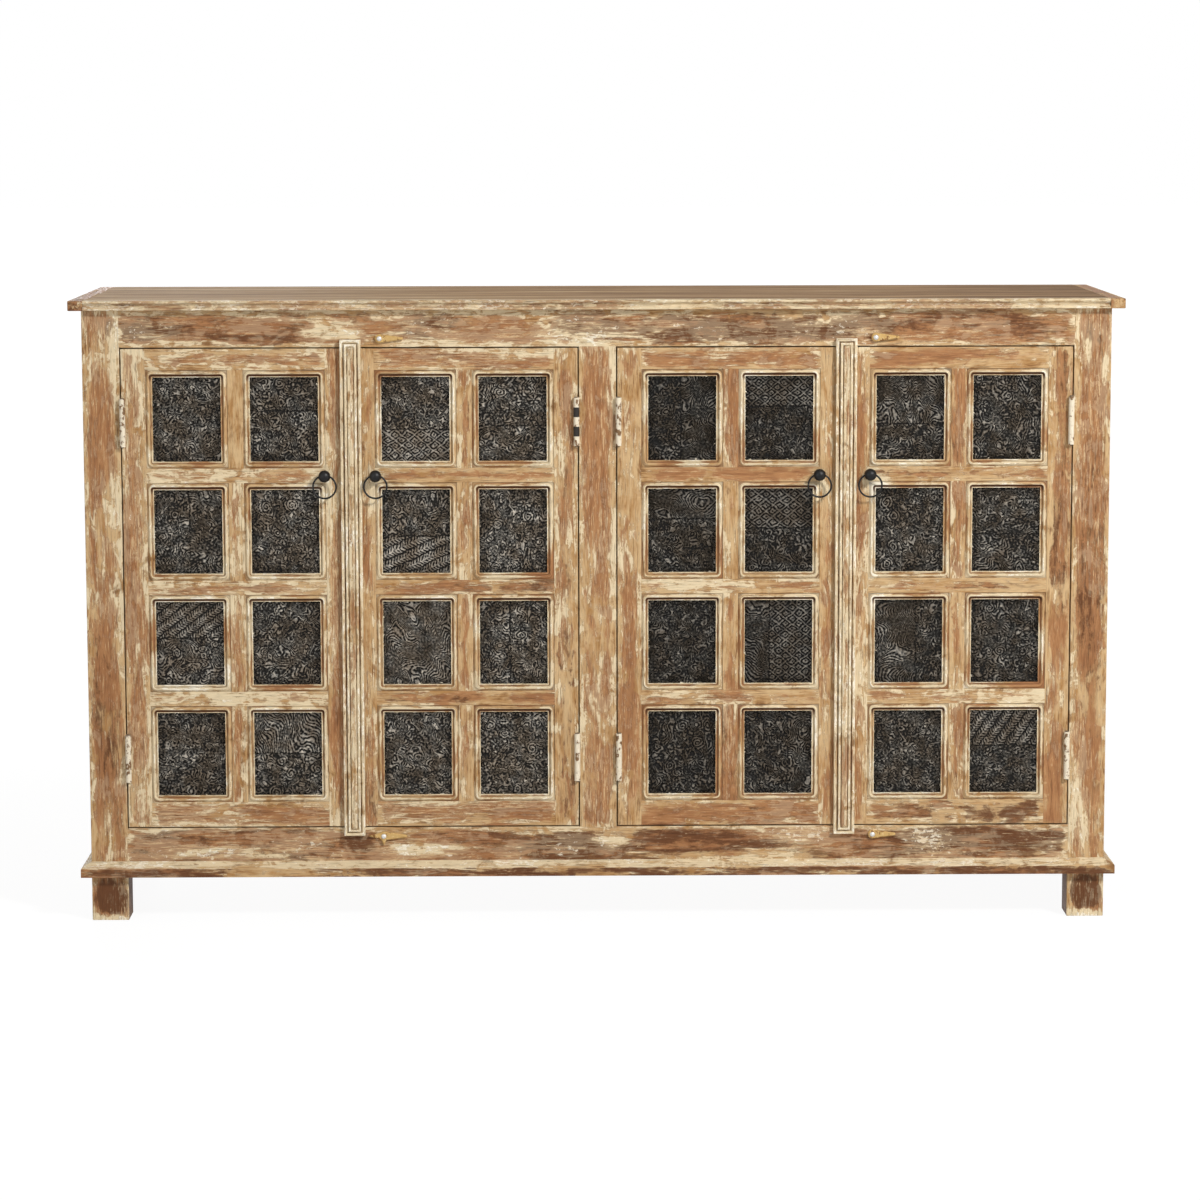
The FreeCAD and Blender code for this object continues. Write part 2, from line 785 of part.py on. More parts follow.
write("front_left_post", [post(mirrored(right_post_x), front_post_y)])
write("front_right_post", [post(right_post_x, front_post_y)])
write("back_left_post", [post(mirrored(right_post_x), back_post_y)])
write("back_right_post", [post(right_post_x, back_post_y)])
write("front_top_rail", [front_rail(top_rail_z)])
write("front_bottom_rail", [front_rail(bottom_rail_z)])
write("centre_stile", [cut_all(centre_stile_solid(), frame_hinge_mortises())])
write("side_rails", side_rails())
write("left_side_panel", [side_panel(mirrored(right_rail_x))])
write("right_side_panel", [side_panel(right_rail_x)])
write("back_rails", back_rails())
write("back_panel", [back_panel()])
write("floor_board", [floor_board()])
write("floor_cleats", floor_cleats())
write("centre_partition", [centre_partition()])
write("left_shelf", [shelf(-1)])
write("right_shelf", [shelf(1)])
write("shelf_cleats", shelf_cleats())
write("top_boards", top_boards())
write("top_edge_front", [top_edge_front()])
write("top_edge_sides", top_edge_sides())
write("base_moulding_front", [base_moulding_front()])
write("base_moulding_sides", base_moulding_sides())

frame_leaf = hinge_leaf(-1, 0)
door_leaf = hinge_leaf(1, 1)
pin = hinge_pin()
hinge_places = [(door, start) for door in range(4) for start in hinge_starts]
write("frame_hinge_leaves", [placed_hinge(frame_leaf, door, start) for door, start in hinge_places])
write("hinge_pins", [placed_hinge(pin, door, start) for door, start in hinge_places])

for door in range(4):
    name = "door_%d_" % (door + 1)
    write(name + "stiles", door_stiles(door))
    write(name + "rails", door_rails(door))
    write(name + "uprights", door_uprights(door))
    write(name + "carved_panels", door_panels(door))
    write(name + "hinge_leaves", [placed_hinge(door_leaf, door, start) for start in hinge_starts])
    write(name + "pull_ball", pull_post(door))
    write(name + "pull_ring", pull_ring(door))
    if hinge_sides[door] > 0:
        write(name + "cover_strip", cover_strip(door))
    hinge_x = hinge_axis_x(door)
    pull_x, pull_z = pull_place(door)
    print("door", door + 1, "hinge", hinge_x, face_y - hinge_stand, "pull", door_starts[door] + pull_x,
          face_y - pull_ball_stand, door_bottom_z + pull_z)

button_names = ("upper_left", "lower_left", "upper_right", "lower_right")
pivots = button_pivots()
for name, pivot in zip(button_names, pivots):
    write(name + "_turn_button", [turn_button(pivot, name == "lower_left")])
    print(name, "button", pivot[0], face_y, pivot[1])
write("button_screws", [button_screw(pivot) for pivot in pivots])
print("front face Y", face_y, "ring drop", ring_drop, "ring bore", ring_bore_radius)
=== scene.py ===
import math

import bpy
import numpy as np
from mathutils import Matrix, Vector


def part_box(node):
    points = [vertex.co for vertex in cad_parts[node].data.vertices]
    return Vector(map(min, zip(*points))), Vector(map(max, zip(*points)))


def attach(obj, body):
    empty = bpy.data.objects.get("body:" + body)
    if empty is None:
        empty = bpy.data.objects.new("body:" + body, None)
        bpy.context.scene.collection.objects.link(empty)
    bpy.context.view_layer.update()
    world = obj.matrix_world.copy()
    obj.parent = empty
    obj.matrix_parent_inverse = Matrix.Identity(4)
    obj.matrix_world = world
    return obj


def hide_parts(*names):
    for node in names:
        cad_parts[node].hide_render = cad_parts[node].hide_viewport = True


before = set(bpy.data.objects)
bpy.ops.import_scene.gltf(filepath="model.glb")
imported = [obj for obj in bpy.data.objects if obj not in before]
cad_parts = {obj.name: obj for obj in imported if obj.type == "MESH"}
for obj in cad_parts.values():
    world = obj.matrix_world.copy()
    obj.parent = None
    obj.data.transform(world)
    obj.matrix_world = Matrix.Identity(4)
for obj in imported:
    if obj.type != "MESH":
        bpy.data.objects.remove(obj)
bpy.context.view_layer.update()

# Lengths are in metres: X to the right, Y to the back, Z up. They repeat the solids' sizes.
TENON = 0.018
FRAME_THICKNESS = 0.025
LEG_HEIGHT = 0.074
TOP_BOARDS = 3
TOP_EDGING = 0.024
DOOR_STILE = 0.039
DOOR_UPRIGHT = 0.025
DOOR_TOP_RAIL = 0.035
DOOR_CROSS_RAIL = 0.024
DOOR_BOTTOM_RAIL = 0.041
DOOR_THICKNESS = 0.022
ROWS = 4
COLUMNS = 2
PANEL_BACK = 0.018
PANEL_FRONT = 0.0064
PANEL_MARGIN = 0.0003
FIELD_INSET = 0.011
STRIP_WIDTH = 0.034
STRIP_RELIEF = 0.0004
STRIP_REBATE = 0.005

# Softened arrises and the spacing of points along members and mouldings
ARRIS = 0.0008
POST_ARRIS = 0.0012
END_ARRIS = 0.0014
BOARD_ARRIS = 0.0004
HIDDEN_ARRIS = 0.0003
STEP = 0.012
BOARD_STEP = 0.02
HIDDEN_STEP = 0.03
FRAMED_STEP = 0.01
CORNER_STEPS = 5

# Axes that the grain runs along
ALONG_X, ALONG_Y, ALONG_Z = range(3)

# Doors count from the left, and the frame's face is at this Y
DOORS = (1, 2, 3, 4)
RIGHT_LEAVES = (2, 4)
DARK_HINGED_DOOR = 2
FACE_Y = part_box("front_top_rail")[0].y


# Smooth random fields and small helpers
def smooth(value, low, high):
    """0 below low, 1 above high and a soft step between them."""
    t = np.clip((value - low) / (high - low), 0, 1)
    return t * t * (3 - 2 * t)


def random_field(seed, size, count=16):
    """Smooth field of points with features about as large as size along each axis, mostly from -1 to 1."""
    rng = np.random.default_rng(seed)
    waves = rng.normal(size=(count, 3)) * 2.2 / np.array(size)
    phases = rng.uniform(0, 2 * math.pi, count)
    return lambda p: np.cos(p @ waves.T + phases).sum(1) / math.sqrt(count / 2)


def ranges(node, trim=(0, 0, 0)):
    """Low and high end of a node along X, Y and Z, without its tenons."""
    return [within(span, tenon) for span, tenon in zip(zip(*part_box(node)), trim)]


def within(span, margin):
    """A range made shorter by a margin at both ends."""
    return span[0] + margin, span[1] - margin


def both_ends(span, width):
    """Ranges of two strips of one width at the ends of a range."""
    return (span[0], span[0] + width), (span[1] - width, span[1])


# Worn places seen on the front: X, Z, half width and half height in metres,
# then the change in wear, brown and white
PATCHES = [
    # legs
    (-0.802, 0.037, 0.028, 0.029, 1.3, 1.35, -0.2),
    (0.801, 0.042, 0.028, 0.027, 1.3, 1.35, 0.05),
    (-0.802, 0.004, 0.034, 0.006, -0.6, -0.6, 0.8),
    (0.801, 0.004, 0.034, 0.006, -0.6, -0.6, 0.9),
    # top rail
    (-0.74, 0.968, 0.06, 0.022, 0.4, 0.66, 0.34),
    (-0.57, 0.966, 0.1, 0.02, 0.6, 0.14, -0.04),
    (-0.41, 0.96, 0.04, 0.02, -0.2, 0, 0.4),
    (-0.27, 0.968, 0.06, 0.024, 0.56, 0.35, 0.26),
    (-0.15, 0.966, 0.06, 0.022, 0.6, -0.05, 0.04),
    (-0.02, 0.968, 0.06, 0.03, 0.45, 0.52, 0.34),
    (0.12, 0.968, 0.1, 0.026, 0.5, 0.42, 0.3),
    (0.25, 0.968, 0.08, 0.026, 0.5, 0.3, 0.2),
    (0.35, 0.968, 0.07, 0.026, 0.4, 0.5, 0.22),
    (0.43, 0.968, 0.05, 0.024, 0.4, 0.42, 0.28),
    (0.6, 0.968, 0.12, 0.024, 0.32, 0.28, -0.02),
    # bottom rail
    (-0.72, 0.137, 0.035, 0.014, 0.2, 0.2, 0.28),
    (-0.63, 0.136, 0.08, 0.012, 0.7, -0.05, -0.15),
    (-0.63, 0.112, 0.13, 0.01, -0.45, -0.1, 0.5),
    (-0.49, 0.13, 0.05, 0.012, 0.2, 0.05, 0.24),
    (-0.395, 0.13, 0.03, 0.018, 0.3, 0.45, 0),
    (-0.29, 0.114, 0.08, 0.01, -0.45, -0.1, 0.5),
    (-0.2, 0.136, 0.1, 0.013, 0.6, 0.02, -0.05),
    (-0.05, 0.132, 0.045, 0.018, 0.35, 0.3, 0.2),
    (0.03, 0.128, 0.03, 0.012, -0.2, -0.1, 0.5),
    (0.15, 0.132, 0.09, 0.017, 0.8, 0.2, -0.3),
    (0.25, 0.122, 0.06, 0.012, 0.3, 0.25, 0.1),
    (0.33, 0.138, 0.06, 0.013, -0.2, -0.1, 0.48),
    (0.44, 0.128, 0.05, 0.015, 0.7, -0.1, -0.2),
    (0.54, 0.132, 0.04, 0.015, 0.1, 0.35, 0.4),
    (0.64, 0.134, 0.07, 0.016, 0.75, -0.1, -0.25),
    (0.73, 0.128, 0.045, 0.016, 0.45, 0.5, 0.1),
    # posts and centre stile
    (-0.8, 0.95, 0.03, 0.045, -0.15, 0, 0.15),
    (-0.8, 0.8, 0.022, 0.1, 0.5, 0, 0),
    (-0.8, 0.62, 0.03, 0.06, 0.2, 0.1, -0.1),
    (-0.8, 0.33, 0.022, 0.17, 0.5, 0.08, 0.06),
    (0.8, 0.965, 0.03, 0.022, 0.4, 0.42, 0.2),
    (0.8, 0.55, 0.022, 0.25, 0.4, 0.2, 0),
    (0.8, 0.255, 0.024, 0.09, 0.5, 0.1, -0.25),
    (0, 0.93, 0.03, 0.03, -0.1, 0, 0.22),
    (0, 0.78, 0.022, 0.12, 0.6, 0, 0),
    # paint left round the pulls
    (-0.45, 0.71, 0.022, 0.032, -0.5, 0, 0.5),
    (-0.36, 0.71, 0.022, 0.032, -0.5, 0, 0.5),
    (0.36, 0.71, 0.022, 0.032, -0.4, 0, 0.3),
    (0.445, 0.71, 0.022, 0.032, -0.5, 0, 0.4),
]
# Depths behind the face between which the patches fade out
PATCH_DEPTH = (0.015, 0.03)
# Darkness of the painted shade on the legs' sides and backs
LEG_SIDE_SHADE = 0.85


def patched(co, look):
    """Add the worn places to the look of points near the front face."""
    near = smooth(-co[:, 1], -(FACE_Y + PATCH_DEPTH[1]), -(FACE_Y + PATCH_DEPTH[0]))
    for x, z, half_x, half_z, *change in PATCHES:
        reach = ((co[:, 0] - x) / half_x) ** 2 + ((co[:, 2] - z) / half_z) ** 2
        look += (np.exp(-reach ** 2) * near)[:, None] * np.array(change)
    return look


def leg_side_shade(co):
    """Painted shade on the sides and backs of the legs, but not on their fronts."""
    leg = smooth(-co[:, 2], -LEG_HEIGHT - 0.002, -LEG_HEIGHT)
    side = smooth(co[:, 1], FACE_Y + 0.0005, FACE_Y + 0.002)
    return leg * side * LEG_SIDE_SHADE


def add_object(name, data):
    obj = bpy.data.objects.new(name, data)
    bpy.context.scene.collection.objects.link(obj)
    return obj


class Piece:
    """A mesh in the making.

    Each point has its place along the grain, its look, its distance to an arris, and how much painted shade
    and dirt darken it.
    A look is a change in wear, brown and white.
    """

    def __init__(self):
        self.parts = []
        self.count = 0

    def add(self, co, quads, grain, look, edge, shade_and_dirt=0, material=0):
        n = len(co)
        self.parts.append((co, quads + self.count, grain, np.broadcast_to(look, (n, 3)),
                           np.broadcast_to(edge, n), np.broadcast_to(shade_and_dirt, n), np.full(len(quads), material)))
        self.count += n

    def build(self, body, node, materials, sharp=50):
        """Make the object that replaces a node. Its name is the node's, with _wood."""
        co, quads, grain, look, edge, shade_and_dirt, index = (np.concatenate(column) for column in zip(*self.parts))
        mesh = bpy.data.meshes.new(node + "_wood")
        mesh.from_pydata(co.tolist(), [], quads.tolist())
        values = {"gp": grain, "look": patched(co, look), "ed": edge, "shade_and_dirt": np.maximum(shade_and_dirt, leg_side_shade(co))}
        for key, data in values.items():
            kind, field = ("FLOAT_VECTOR", "vector") if data.ndim == 2 else ("FLOAT", "value")
            mesh.attributes.new(key, kind, "POINT").data.foreach_set(field, data.astype(np.float32).ravel())
        for material in materials:
            mesh.materials.append(material)
        mesh.polygons.foreach_set("material_index", index.astype(np.int32))
        mesh.shade_smooth()
        mesh.set_sharp_from_angle(angle=math.radians(sharp))
        mesh.update()
        obj = add_object(node + "_wood", mesh)
        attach(obj, body)
        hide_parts(node)


def grid_quads(rows, columns, start=0):
    """Quads of a grid of points that is numbered row by row."""
    corner = start + (np.arange(rows - 1)[:, None] * columns + np.arange(columns - 1)[None, :]).ravel()
    return np.stack([corner, corner + columns, corner + columns + 1, corner + 1], 1)


def lattice_line(low, high, radius, step):
    """Places of the points along one side of a member, closer together at the arrises."""
    near = [0, 0.4 * radius, radius, radius + 0.0006]
    inner = np.linspace(low + near[-1], high - near[-1], max(2, round((high - low) / step) + 1))
    return np.concatenate([low + np.array(near[:-1]), inner, high - np.array(near[-2::-1])])


def box_shell(lines):
    """Points on the six sides of a lattice, with shared edges, and the quads between them."""
    sizes = [len(line) for line in lines]
    keys, quads = [], []
    start = 0
    for a in range(3):
        b, c = (a + 1) % 3, (a + 2) % 3
        at_b, at_c = np.meshgrid(np.arange(sizes[b]), np.arange(sizes[c]), indexing="ij")
        for side in (0, 1):
            index = [None] * 3
            index[a] = np.full(at_b.shape, side * (sizes[a] - 1))
            index[b], index[c] = at_b, at_c
            keys.append(((index[0] * sizes[1] + index[1]) * sizes[2] + index[2]).ravel())
            quad = grid_quads(sizes[b], sizes[c], start)
            quads.append(quad if side else quad[:, ::-1])
            start += sizes[b] * sizes[c]
    unique, inverse = np.unique(np.concatenate(keys), return_inverse=True)
    k = unique % sizes[2]
    j = (unique // sizes[2]) % sizes[1]
    i = unique // (sizes[1] * sizes[2])
    return np.stack([lines[0][i], lines[1][j], lines[2][k]], 1), inverse[np.concatenate(quads)]


# Size of the worn and of the darker places of a member, along the grain and across it
WEAR_SIZE = (0.3, 0.05, 0.05)
TONE_SIZE = (0.4, 0.08, 0.08)


def member(piece, x, y, z, grain, seed, look=(0, 0, 0), radius=ARRIS, step=STEP, ends=0):
    """A length of timber with softened arrises, made longer at both ends of its grain by ends."""
    low, high = np.array([x, y, z], float).T
    low[grain] -= ends
    high[grain] += ends
    flat, quads = box_shell([lattice_line(low[a], high[a], radius, step) for a in range(3)])
    inner = np.clip(flat, low + radius, high - radius)
    out = flat - inner
    co = inner + out / np.linalg.norm(out, axis=1)[:, None] * radius
    reach = np.sort(np.minimum(flat - low, high - flat), axis=1)[:, 1]
    rng = np.random.default_rng(seed)
    order = [grain, (grain + 1) % 3, (grain + 2) % 3]
    place = co[:, order] + rng.uniform(-4, 4, 3)
    own = np.array(look) + rng.normal(0, 0.08, 3)
    wear = random_field(seed + 7, np.array(WEAR_SIZE)[np.argsort(order)])(co)
    tone = random_field(seed + 11, np.array(TONE_SIZE)[np.argsort(order)])(co)
    looks = own + np.stack([0.16 * wear, 0.22 * tone, 0.12 * wear * tone], 1)
    piece.add(co, quads, place, looks, reach)


def outline(x, z, radius, across, up):
    """Rounded rectangle with ranges x and z, counter-clockwise from the front, closed by its first point."""
    radius = max(radius, 0.00005)
    x0, x1, z0, z1 = x[0] + radius, x[1] - radius, z[0] + radius, z[1] - radius
    points = []
    for cx, cz, turn, ax, az, count in ((x1, z0, -90, 1, 0, across), (x1, z1, 0, 0, 1, up),
                                        (x0, z1, 90, -1, 0, across), (x0, z0, 180, 0, -1, up)):
        length = (x1 - x0) if ax else (z1 - z0)
        side = np.linspace(-length, 0, count + 1)[:-1]
        start = (cx + radius * math.cos(math.radians(turn)), cz + radius * math.sin(math.radians(turn)))
        points += [(start[0] + ax * t, start[1] + az * t) for t in side]
        for angle in np.radians(np.linspace(turn, turn + 90, CORNER_STEPS + 1)[:-1]):
            points.append((cx + radius * math.cos(angle), cz + radius * math.sin(angle)))
    return np.array(points + points[:1])


# Mouldings count as this far from an arris, and painted shade, where the bead would shade the field, lies
# along the top side of a rim over this height
MOULDING_EDGE = 0.004
TOP_SHADE = (0.016, 0.012)


def framed(piece, x, z, profile, radius, seed, look, blotches):
    """Surface through nested outlines.

    Each profile row is inset, Y, change in look, painted shade and dirt all round, and the painted shade
    along the top.
    """
    across = max(2, round((x[1] - x[0]) / FRAMED_STEP))
    up = max(2, round((z[1] - z[0]) / FRAMED_STEP))
    offset = np.random.default_rng(seed).uniform(-4, 4, 3)
    along = None
    co, grain, looks, shades_and_dirt = [], [], [], []
    for inset, y, change, shade_and_dirt, top_shade in profile:
        loop = outline(within(x, inset), within(z, inset), radius(inset), across, up)
        n = len(loop)
        if along is None:
            along = np.concatenate([[0], np.cumsum(np.linalg.norm(np.diff(loop, axis=0), axis=1))])
        co.append(np.stack([loop[:, 0], np.full(n, y), loop[:, 1]], 1))
        grain.append(np.stack([along, np.full(n, inset), np.full(n, y)], 1) + offset)
        looks.append(np.array(look) + np.array(change) + np.zeros((n, 3)))
        # painted shade along the top side of the opening
        above = smooth(loop[:, 1], z[1] - TOP_SHADE[0], z[1] - TOP_SHADE[1])
        shades_and_dirt.append(shade_and_dirt + max(0, top_shade - shade_and_dirt) * above)
    co = np.concatenate(co)
    blotch = blotches * random_field(seed + 3, (0.05, 0.05, 0.05))(co)[:, None] * np.array([-0.8, 0.6, 1])
    quads = grid_quads(len(profile), n)[:, [0, 3, 2, 1]]
    looks = np.concatenate(looks) + blotch
    piece.add(co, quads, np.concatenate(grain), looks, MOULDING_EDGE, np.concatenate(shades_and_dirt))


def swept(piece, profile, axis, ends, seed, look, shade_and_dirt):
    """Closed profile of (out, up) points carried along X or Y.

    ends(point) gives the low and high end at a profile point. look is one for all points or one for each.
    """
    m = len(profile)
    closed = np.array(list(profile) + [profile[0]])
    low, high = ends(profile[0])
    n = max(2, round((high - low) / STEP)) + 1
    along = np.array([np.linspace(*ends(point), n) for point in closed]).ravel()
    out, up = np.repeat(closed[:, 0], n), np.repeat(closed[:, 1], n)
    co = np.stack([along, out, up] if axis == ALONG_X else [out, along, up], 1)
    rng = np.random.default_rng(seed)
    grain = np.stack([along, out, up], 1) + rng.uniform(-4, 4, 3)
    area = sum(closed[k, 0] * closed[k + 1, 1] - closed[k + 1, 0] * closed[k, 1] for k in range(m))
    turned = (area > 0) == (axis == ALONG_X)
    quads = grid_quads(m + 1, n)
    if turned:
        quads = quads[:, ::-1]
    wear = 0.2 * random_field(seed + 5, (0.3, 0.03, 0.03) if axis == ALONG_X else (0.03, 0.3, 0.03))(co)
    rows = np.broadcast_to(np.array(look, float), (m, 3))
    looks = np.repeat(np.concatenate([rows, rows[:1]]), n, axis=0) + np.stack([wear, -wear, wear * 0.5], 1)
    shades_and_dirt = np.repeat(np.array(shade_and_dirt + shade_and_dirt[:1], float), n)
    piece.add(co, quads, grain, looks, MOULDING_EDGE, shades_and_dirt)
    # the two end faces, as fans of quads round their middle
    for at in (0, n - 1):
        ring = co[np.arange(m) * n + at]
        points = np.concatenate([ring, (ring + np.roll(ring, -1, 0)) / 2, [ring.mean(0)]])
        fans = np.array([[i, m + i, 2 * m, m + (i - 1) % m] for i in range(m)])
        if turned == (at == 0):
            fans = fans[:, ::-1]
        place = points[:, [2, 0, 1]] + rng.uniform(-4, 4, 3)
        piece.add(points, fans, place, rows.mean(0), MOULDING_EDGE, 0.2)


# Node trees
def colour(*parts):
    """Linear colour with alpha from red, green and blue as the 0 to 255 numbers that a picture shows."""
    return tuple(c / 255 / 12.92 if c <= 10 else ((c / 255 + 0.055) / 1.055) ** 2.4 for c in parts) + (1,)


class Tree:
    """Short names for the nodes of a new material or world."""

    def __init__(self, owner, shader="Principled BSDF"):
        owner.use_nodes = True
        self.owner = owner
        self.nodes = owner.node_tree.nodes
        self.links = owner.node_tree.links
        self.shader = self.nodes[shader]

    def put(self, target, value):
        """Link a socket to an input, or give the input a plain value."""
        if isinstance(value, bpy.types.NodeSocket):
            self.links.new(value, target)
        else:
            target.default_value = value

    def node(self, kind, inputs=(), output=0, **settings):
        made = self.nodes.new("ShaderNode" + kind)
        for key, value in settings.items():
            setattr(made, key, value)
        for key, value in dict(inputs).items():
            self.put(made.inputs[key], value)
        return made.outputs[output]

    def math(self, operation, a, b=0, clamp=False):
        return self.node("Math", {0: a, 1: b}, operation=operation, use_clamp=clamp)

    def times(self, a, b, clamp=False):
        return self.math("MULTIPLY", a, b, clamp)

    def sum(self, *terms):
        """Sum of sockets, or of (socket, factor) pairs, and numbers."""
        total = None
        for term in terms:
            if isinstance(term, tuple):
                term = self.times(*term)
            total = term if total is None else self.math("ADD", total, term)
        return total

    def step(self, value, low, high, start=0, end=1):
        """Soft step from start to end as the value goes from low to high."""
        inputs = {"Value": value, "From Min": low, "From Max": high, "To Min": start, "To Max": end}
        return self.node("MapRange", inputs, interpolation_type="SMOOTHSTEP")

    def mix(self, factor, a, b):
        return self.node("Mix", {0: factor, 6: a, 7: b}, output=2, data_type="RGBA")

    def shade(self, value, by):
        """Colour multiplied by a number."""
        return self.node("VectorMath", {0: value, 3: by}, operation="SCALE")

    def noise(self, vector, sizes, detail=3, rough=0.55, warp=0):
        """Noise from -0.5 to 0.5 with features of these sizes. The last one serves for the axes left out."""
        sizes = list(np.atleast_1d(sizes))
        scale = tuple(1 / size for size in (sizes + sizes[-1:] * 2)[:3])
        inputs = {"Vector": self.node("VectorMath", {0: vector, 1: scale}, operation="MULTIPLY"),
                  "Scale": 1, "Detail": detail, "Roughness": rough, "Distortion": warp}
        return self.math("SUBTRACT", self.node("TexNoise", inputs), 0.5)

    def value(self, name):
        return self.node("Attribute", attribute_name=name, output=2)

    def vector(self, name):
        return self.node("Attribute", attribute_name=name, output=1)

    def parts(self, vector):
        return self.node("SeparateXYZ", {0: vector}).node.outputs

    def place(self):
        """Coordinates of the object."""
        return self.node("TexCoord", output=3)

    def seen(self):
        """1 where the camera looks straight or by a glossy surface, and 0 for other light."""
        rays = self.node("LightPath").node.outputs
        return self.math("MAXIMUM", rays["Is Camera Ray"], rays["Is Glossy Ray"])

    def finish(self, **inputs):
        for key, value in inputs.items():
            self.put(self.shader.inputs[key.replace("_", " ")], value)
        return self.owner

    def surface(self, base, rough, height, distance, strength, specular, metal=0):
        """Finish with bumps of a height."""
        bump = self.node("Bump", {"Height": height, "Distance": distance, "Strength": strength})
        return self.finish(Base_Color=base, Roughness=rough, Normal=bump, Metallic=metal,
                           Specular_IOR_Level=specular)


CREAM = colour(225, 206, 170)
CHIP = colour(246, 236, 214)
TAN = colour(203, 171, 127)
OCHRE = colour(170, 127, 78)
BARE = colour(172, 124, 82)
RED_BROWN = colour(143, 96, 62)
BROWN = colour(102, 65, 40)
# dark brown of cracks, and of painted shade and dirt in hollows
STAIN_AND_SHADE = colour(78, 46, 27)
BRUSHED = colour(218, 190, 148)
INNER_DARK, INNER_MID, INNER_LIGHT = colour(132, 96, 64), colour(170, 130, 92), colour(196, 160, 120)
TOP_DARK, TOP_MID, TOP_LIGHT = colour(116, 88, 60), colour(172, 138, 101), colour(208, 182, 145)
HOLLOW, WARM_GROUND, COOL_GROUND = colour(14, 12, 9), colour(104, 93, 80), colour(92, 90, 86)
# pale grey of rubbed ridges, also used as a painted highlight
RUBBED_HIGHLIGHT = colour(150, 142, 130)
RUST = colour(88, 58, 38)


def painted_wood(name, more_wear=0, more_white=0, more_brown=0, more_chip=0):
    """Old timber whose cream and ochre paint is rubbed away along the grain, most in a member's middle."""
    t = Tree(bpy.data.materials.new(name))
    gp = t.vector("gp")
    worn, brown, white = t.parts(t.vector("look"))
    edge, shade_and_dirt = t.value("ed"), t.value("shade_and_dirt")
    blotch = t.noise(gp, (0.12, 0.034), 3, 0.55, 0.8)
    streak = t.noise(gp, (0.06, 0.008), 4, 0.65, 0.9)
    fine = t.noise(gp, (0.026, 0.0023), 3, 0.6, 0.5)
    fleck = t.noise(gp, (0.01, 0.0048), 4, 0.7, 0.6)
    fibre = t.noise(gp, (0.02, 0.001), 2, 0.6)
    wash = t.noise(gp, (0.09, 0.0135), 3, 0.6, 0.9)
    cloud = t.noise(t.place(), 0.04, 4, 0.62, 1)
    # Wear: bare is 1 where the paint is gone, and lip is high where it ends
    middle = t.step(t.sum(edge, (streak, 0.016), (cloud, 0.016)), 0, 0.014)
    wear = t.sum(worn, (blotch, 2.6), (cloud, 1.3), (streak, 0.85), (fine, 0.4), (fleck, 0.35),
                 (middle, 0.55), -0.36 + more_wear)
    bare = t.sum((t.step(wear, -0.36, 0.4), 0.66), (t.step(wear, -0.04, 0.1), 0.34))
    lip = t.times(t.step(wear, -0.3, -0.02), t.math("SUBTRACT", 1, bare))
    # Paint: ochre and tan
    tint = t.step(t.sum((wash, 1.6), (cloud, 1), (streak, 0.7), (fine, 0.7)), -0.42, 0.26)
    paint = t.mix(tint, OCHRE, TAN)
    # Timber under it
    dark = t.step(t.sum(brown, (blotch, -1.3), (wash, 2), (fleck, 0.8), (fine, 0.6), (cloud, -0.8),
                        -0.37 + more_brown), -0.16, 0.3)
    timber = t.mix(t.step(t.sum(wash, (streak, 1.1), (fine, 0.7)), -0.26, 0.24), RED_BROWN, BARE)
    timber = t.mix(dark, timber, BROWN)
    base = t.mix(bare, paint, timber)
    # Cream strokes along the grain, thickest where the paint is whole, chips, and dry strokes on worn grain
    spread = t.sum(white, (wash, -1.2), (streak, -1.7), (cloud, 2), (fine, 0.85), (fleck, 0.5),
                   (lip, 0.12), -0.11 + more_white)
    cream = t.sum((t.step(spread, -0.24, 0.34), 0.62), (t.step(spread, 0, 0.11), 0.33))
    base = t.mix(t.times(cream, t.step(bare, 0.1, 1, 1, 0.22)), base, CREAM)
    chips = t.step(t.sum(white, (fleck, 2.6), (cloud, 1.7), (streak, 0.6), (lip, 0.25),
                         -0.78 + more_white + more_chip), 0, 0.13)
    base = t.mix(t.times(chips, t.step(bare, 0.2, 1, 1, 0.75)), base, CHIP)
    brush = t.step(t.sum((fine, 1.5), (streak, 1.2), (fleck, 0.9), (white, 0.5), (dark, -0.1)),
                   0.08, 0.4, 0, 0.62)
    base = t.mix(t.times(brush, bare), base, BRUSHED)
    # Painted shade along the edges of the cream, grain, dirt, then painted shade and dirt in hollows, along
    # the tops of rims and on the legs' sides, then cracks
    # painted shade: a thin dark line where the cream ends, for the shadow of the paint's edge
    cream_edge_shade = t.times(t.step(spread, -0.06, 0), t.step(spread, 0.01, 0.06, 1, 0))
    base = t.mix(t.times(cream_edge_shade, 0.42), base, BROWN)
    base = t.shade(base, t.step(fibre, -0.3, 0.1, 0.78, 1.04))
    grime = t.sum((cloud, -1.4), (streak, -1.4), (fine, -0.8), (edge, -10))
    base = t.mix(t.step(grime, 0.1, 0.46, 0, 0.62), base, BROWN)
    # painted shade and dirt: each point's darkening in grooves and hollows, under the tops of rims and on the
    # legs' sides
    shade_and_dirt_mask = t.times(shade_and_dirt, t.step(t.sum(shade_and_dirt, (streak, 1), (fleck, 0.6)), 0.05, 0.6), clamp=True)
    base = t.mix(shade_and_dirt_mask, base, STAIN_AND_SHADE)
    crack = t.step(t.noise(gp, (0.05, 0.0013), 2, 0.5, 0.2), 0.12, 0.24)
    base = t.mix(t.times(crack, 0.6), base, STAIN_AND_SHADE)
    height = t.sum((bare, -0.5), (cream, 0.3), (fibre, 0.5), (chips, 0.35), (crack, -0.7), (fleck, 0.5),
                   (fine, 0.6), (brush, 0.25))
    rough = t.step(t.sum(bare, (fleck, 0.6)), -0.3, 1.3, 0.66, 0.5)
    return t.surface(base, rough, height, 0.001, 0.8, 0.14)


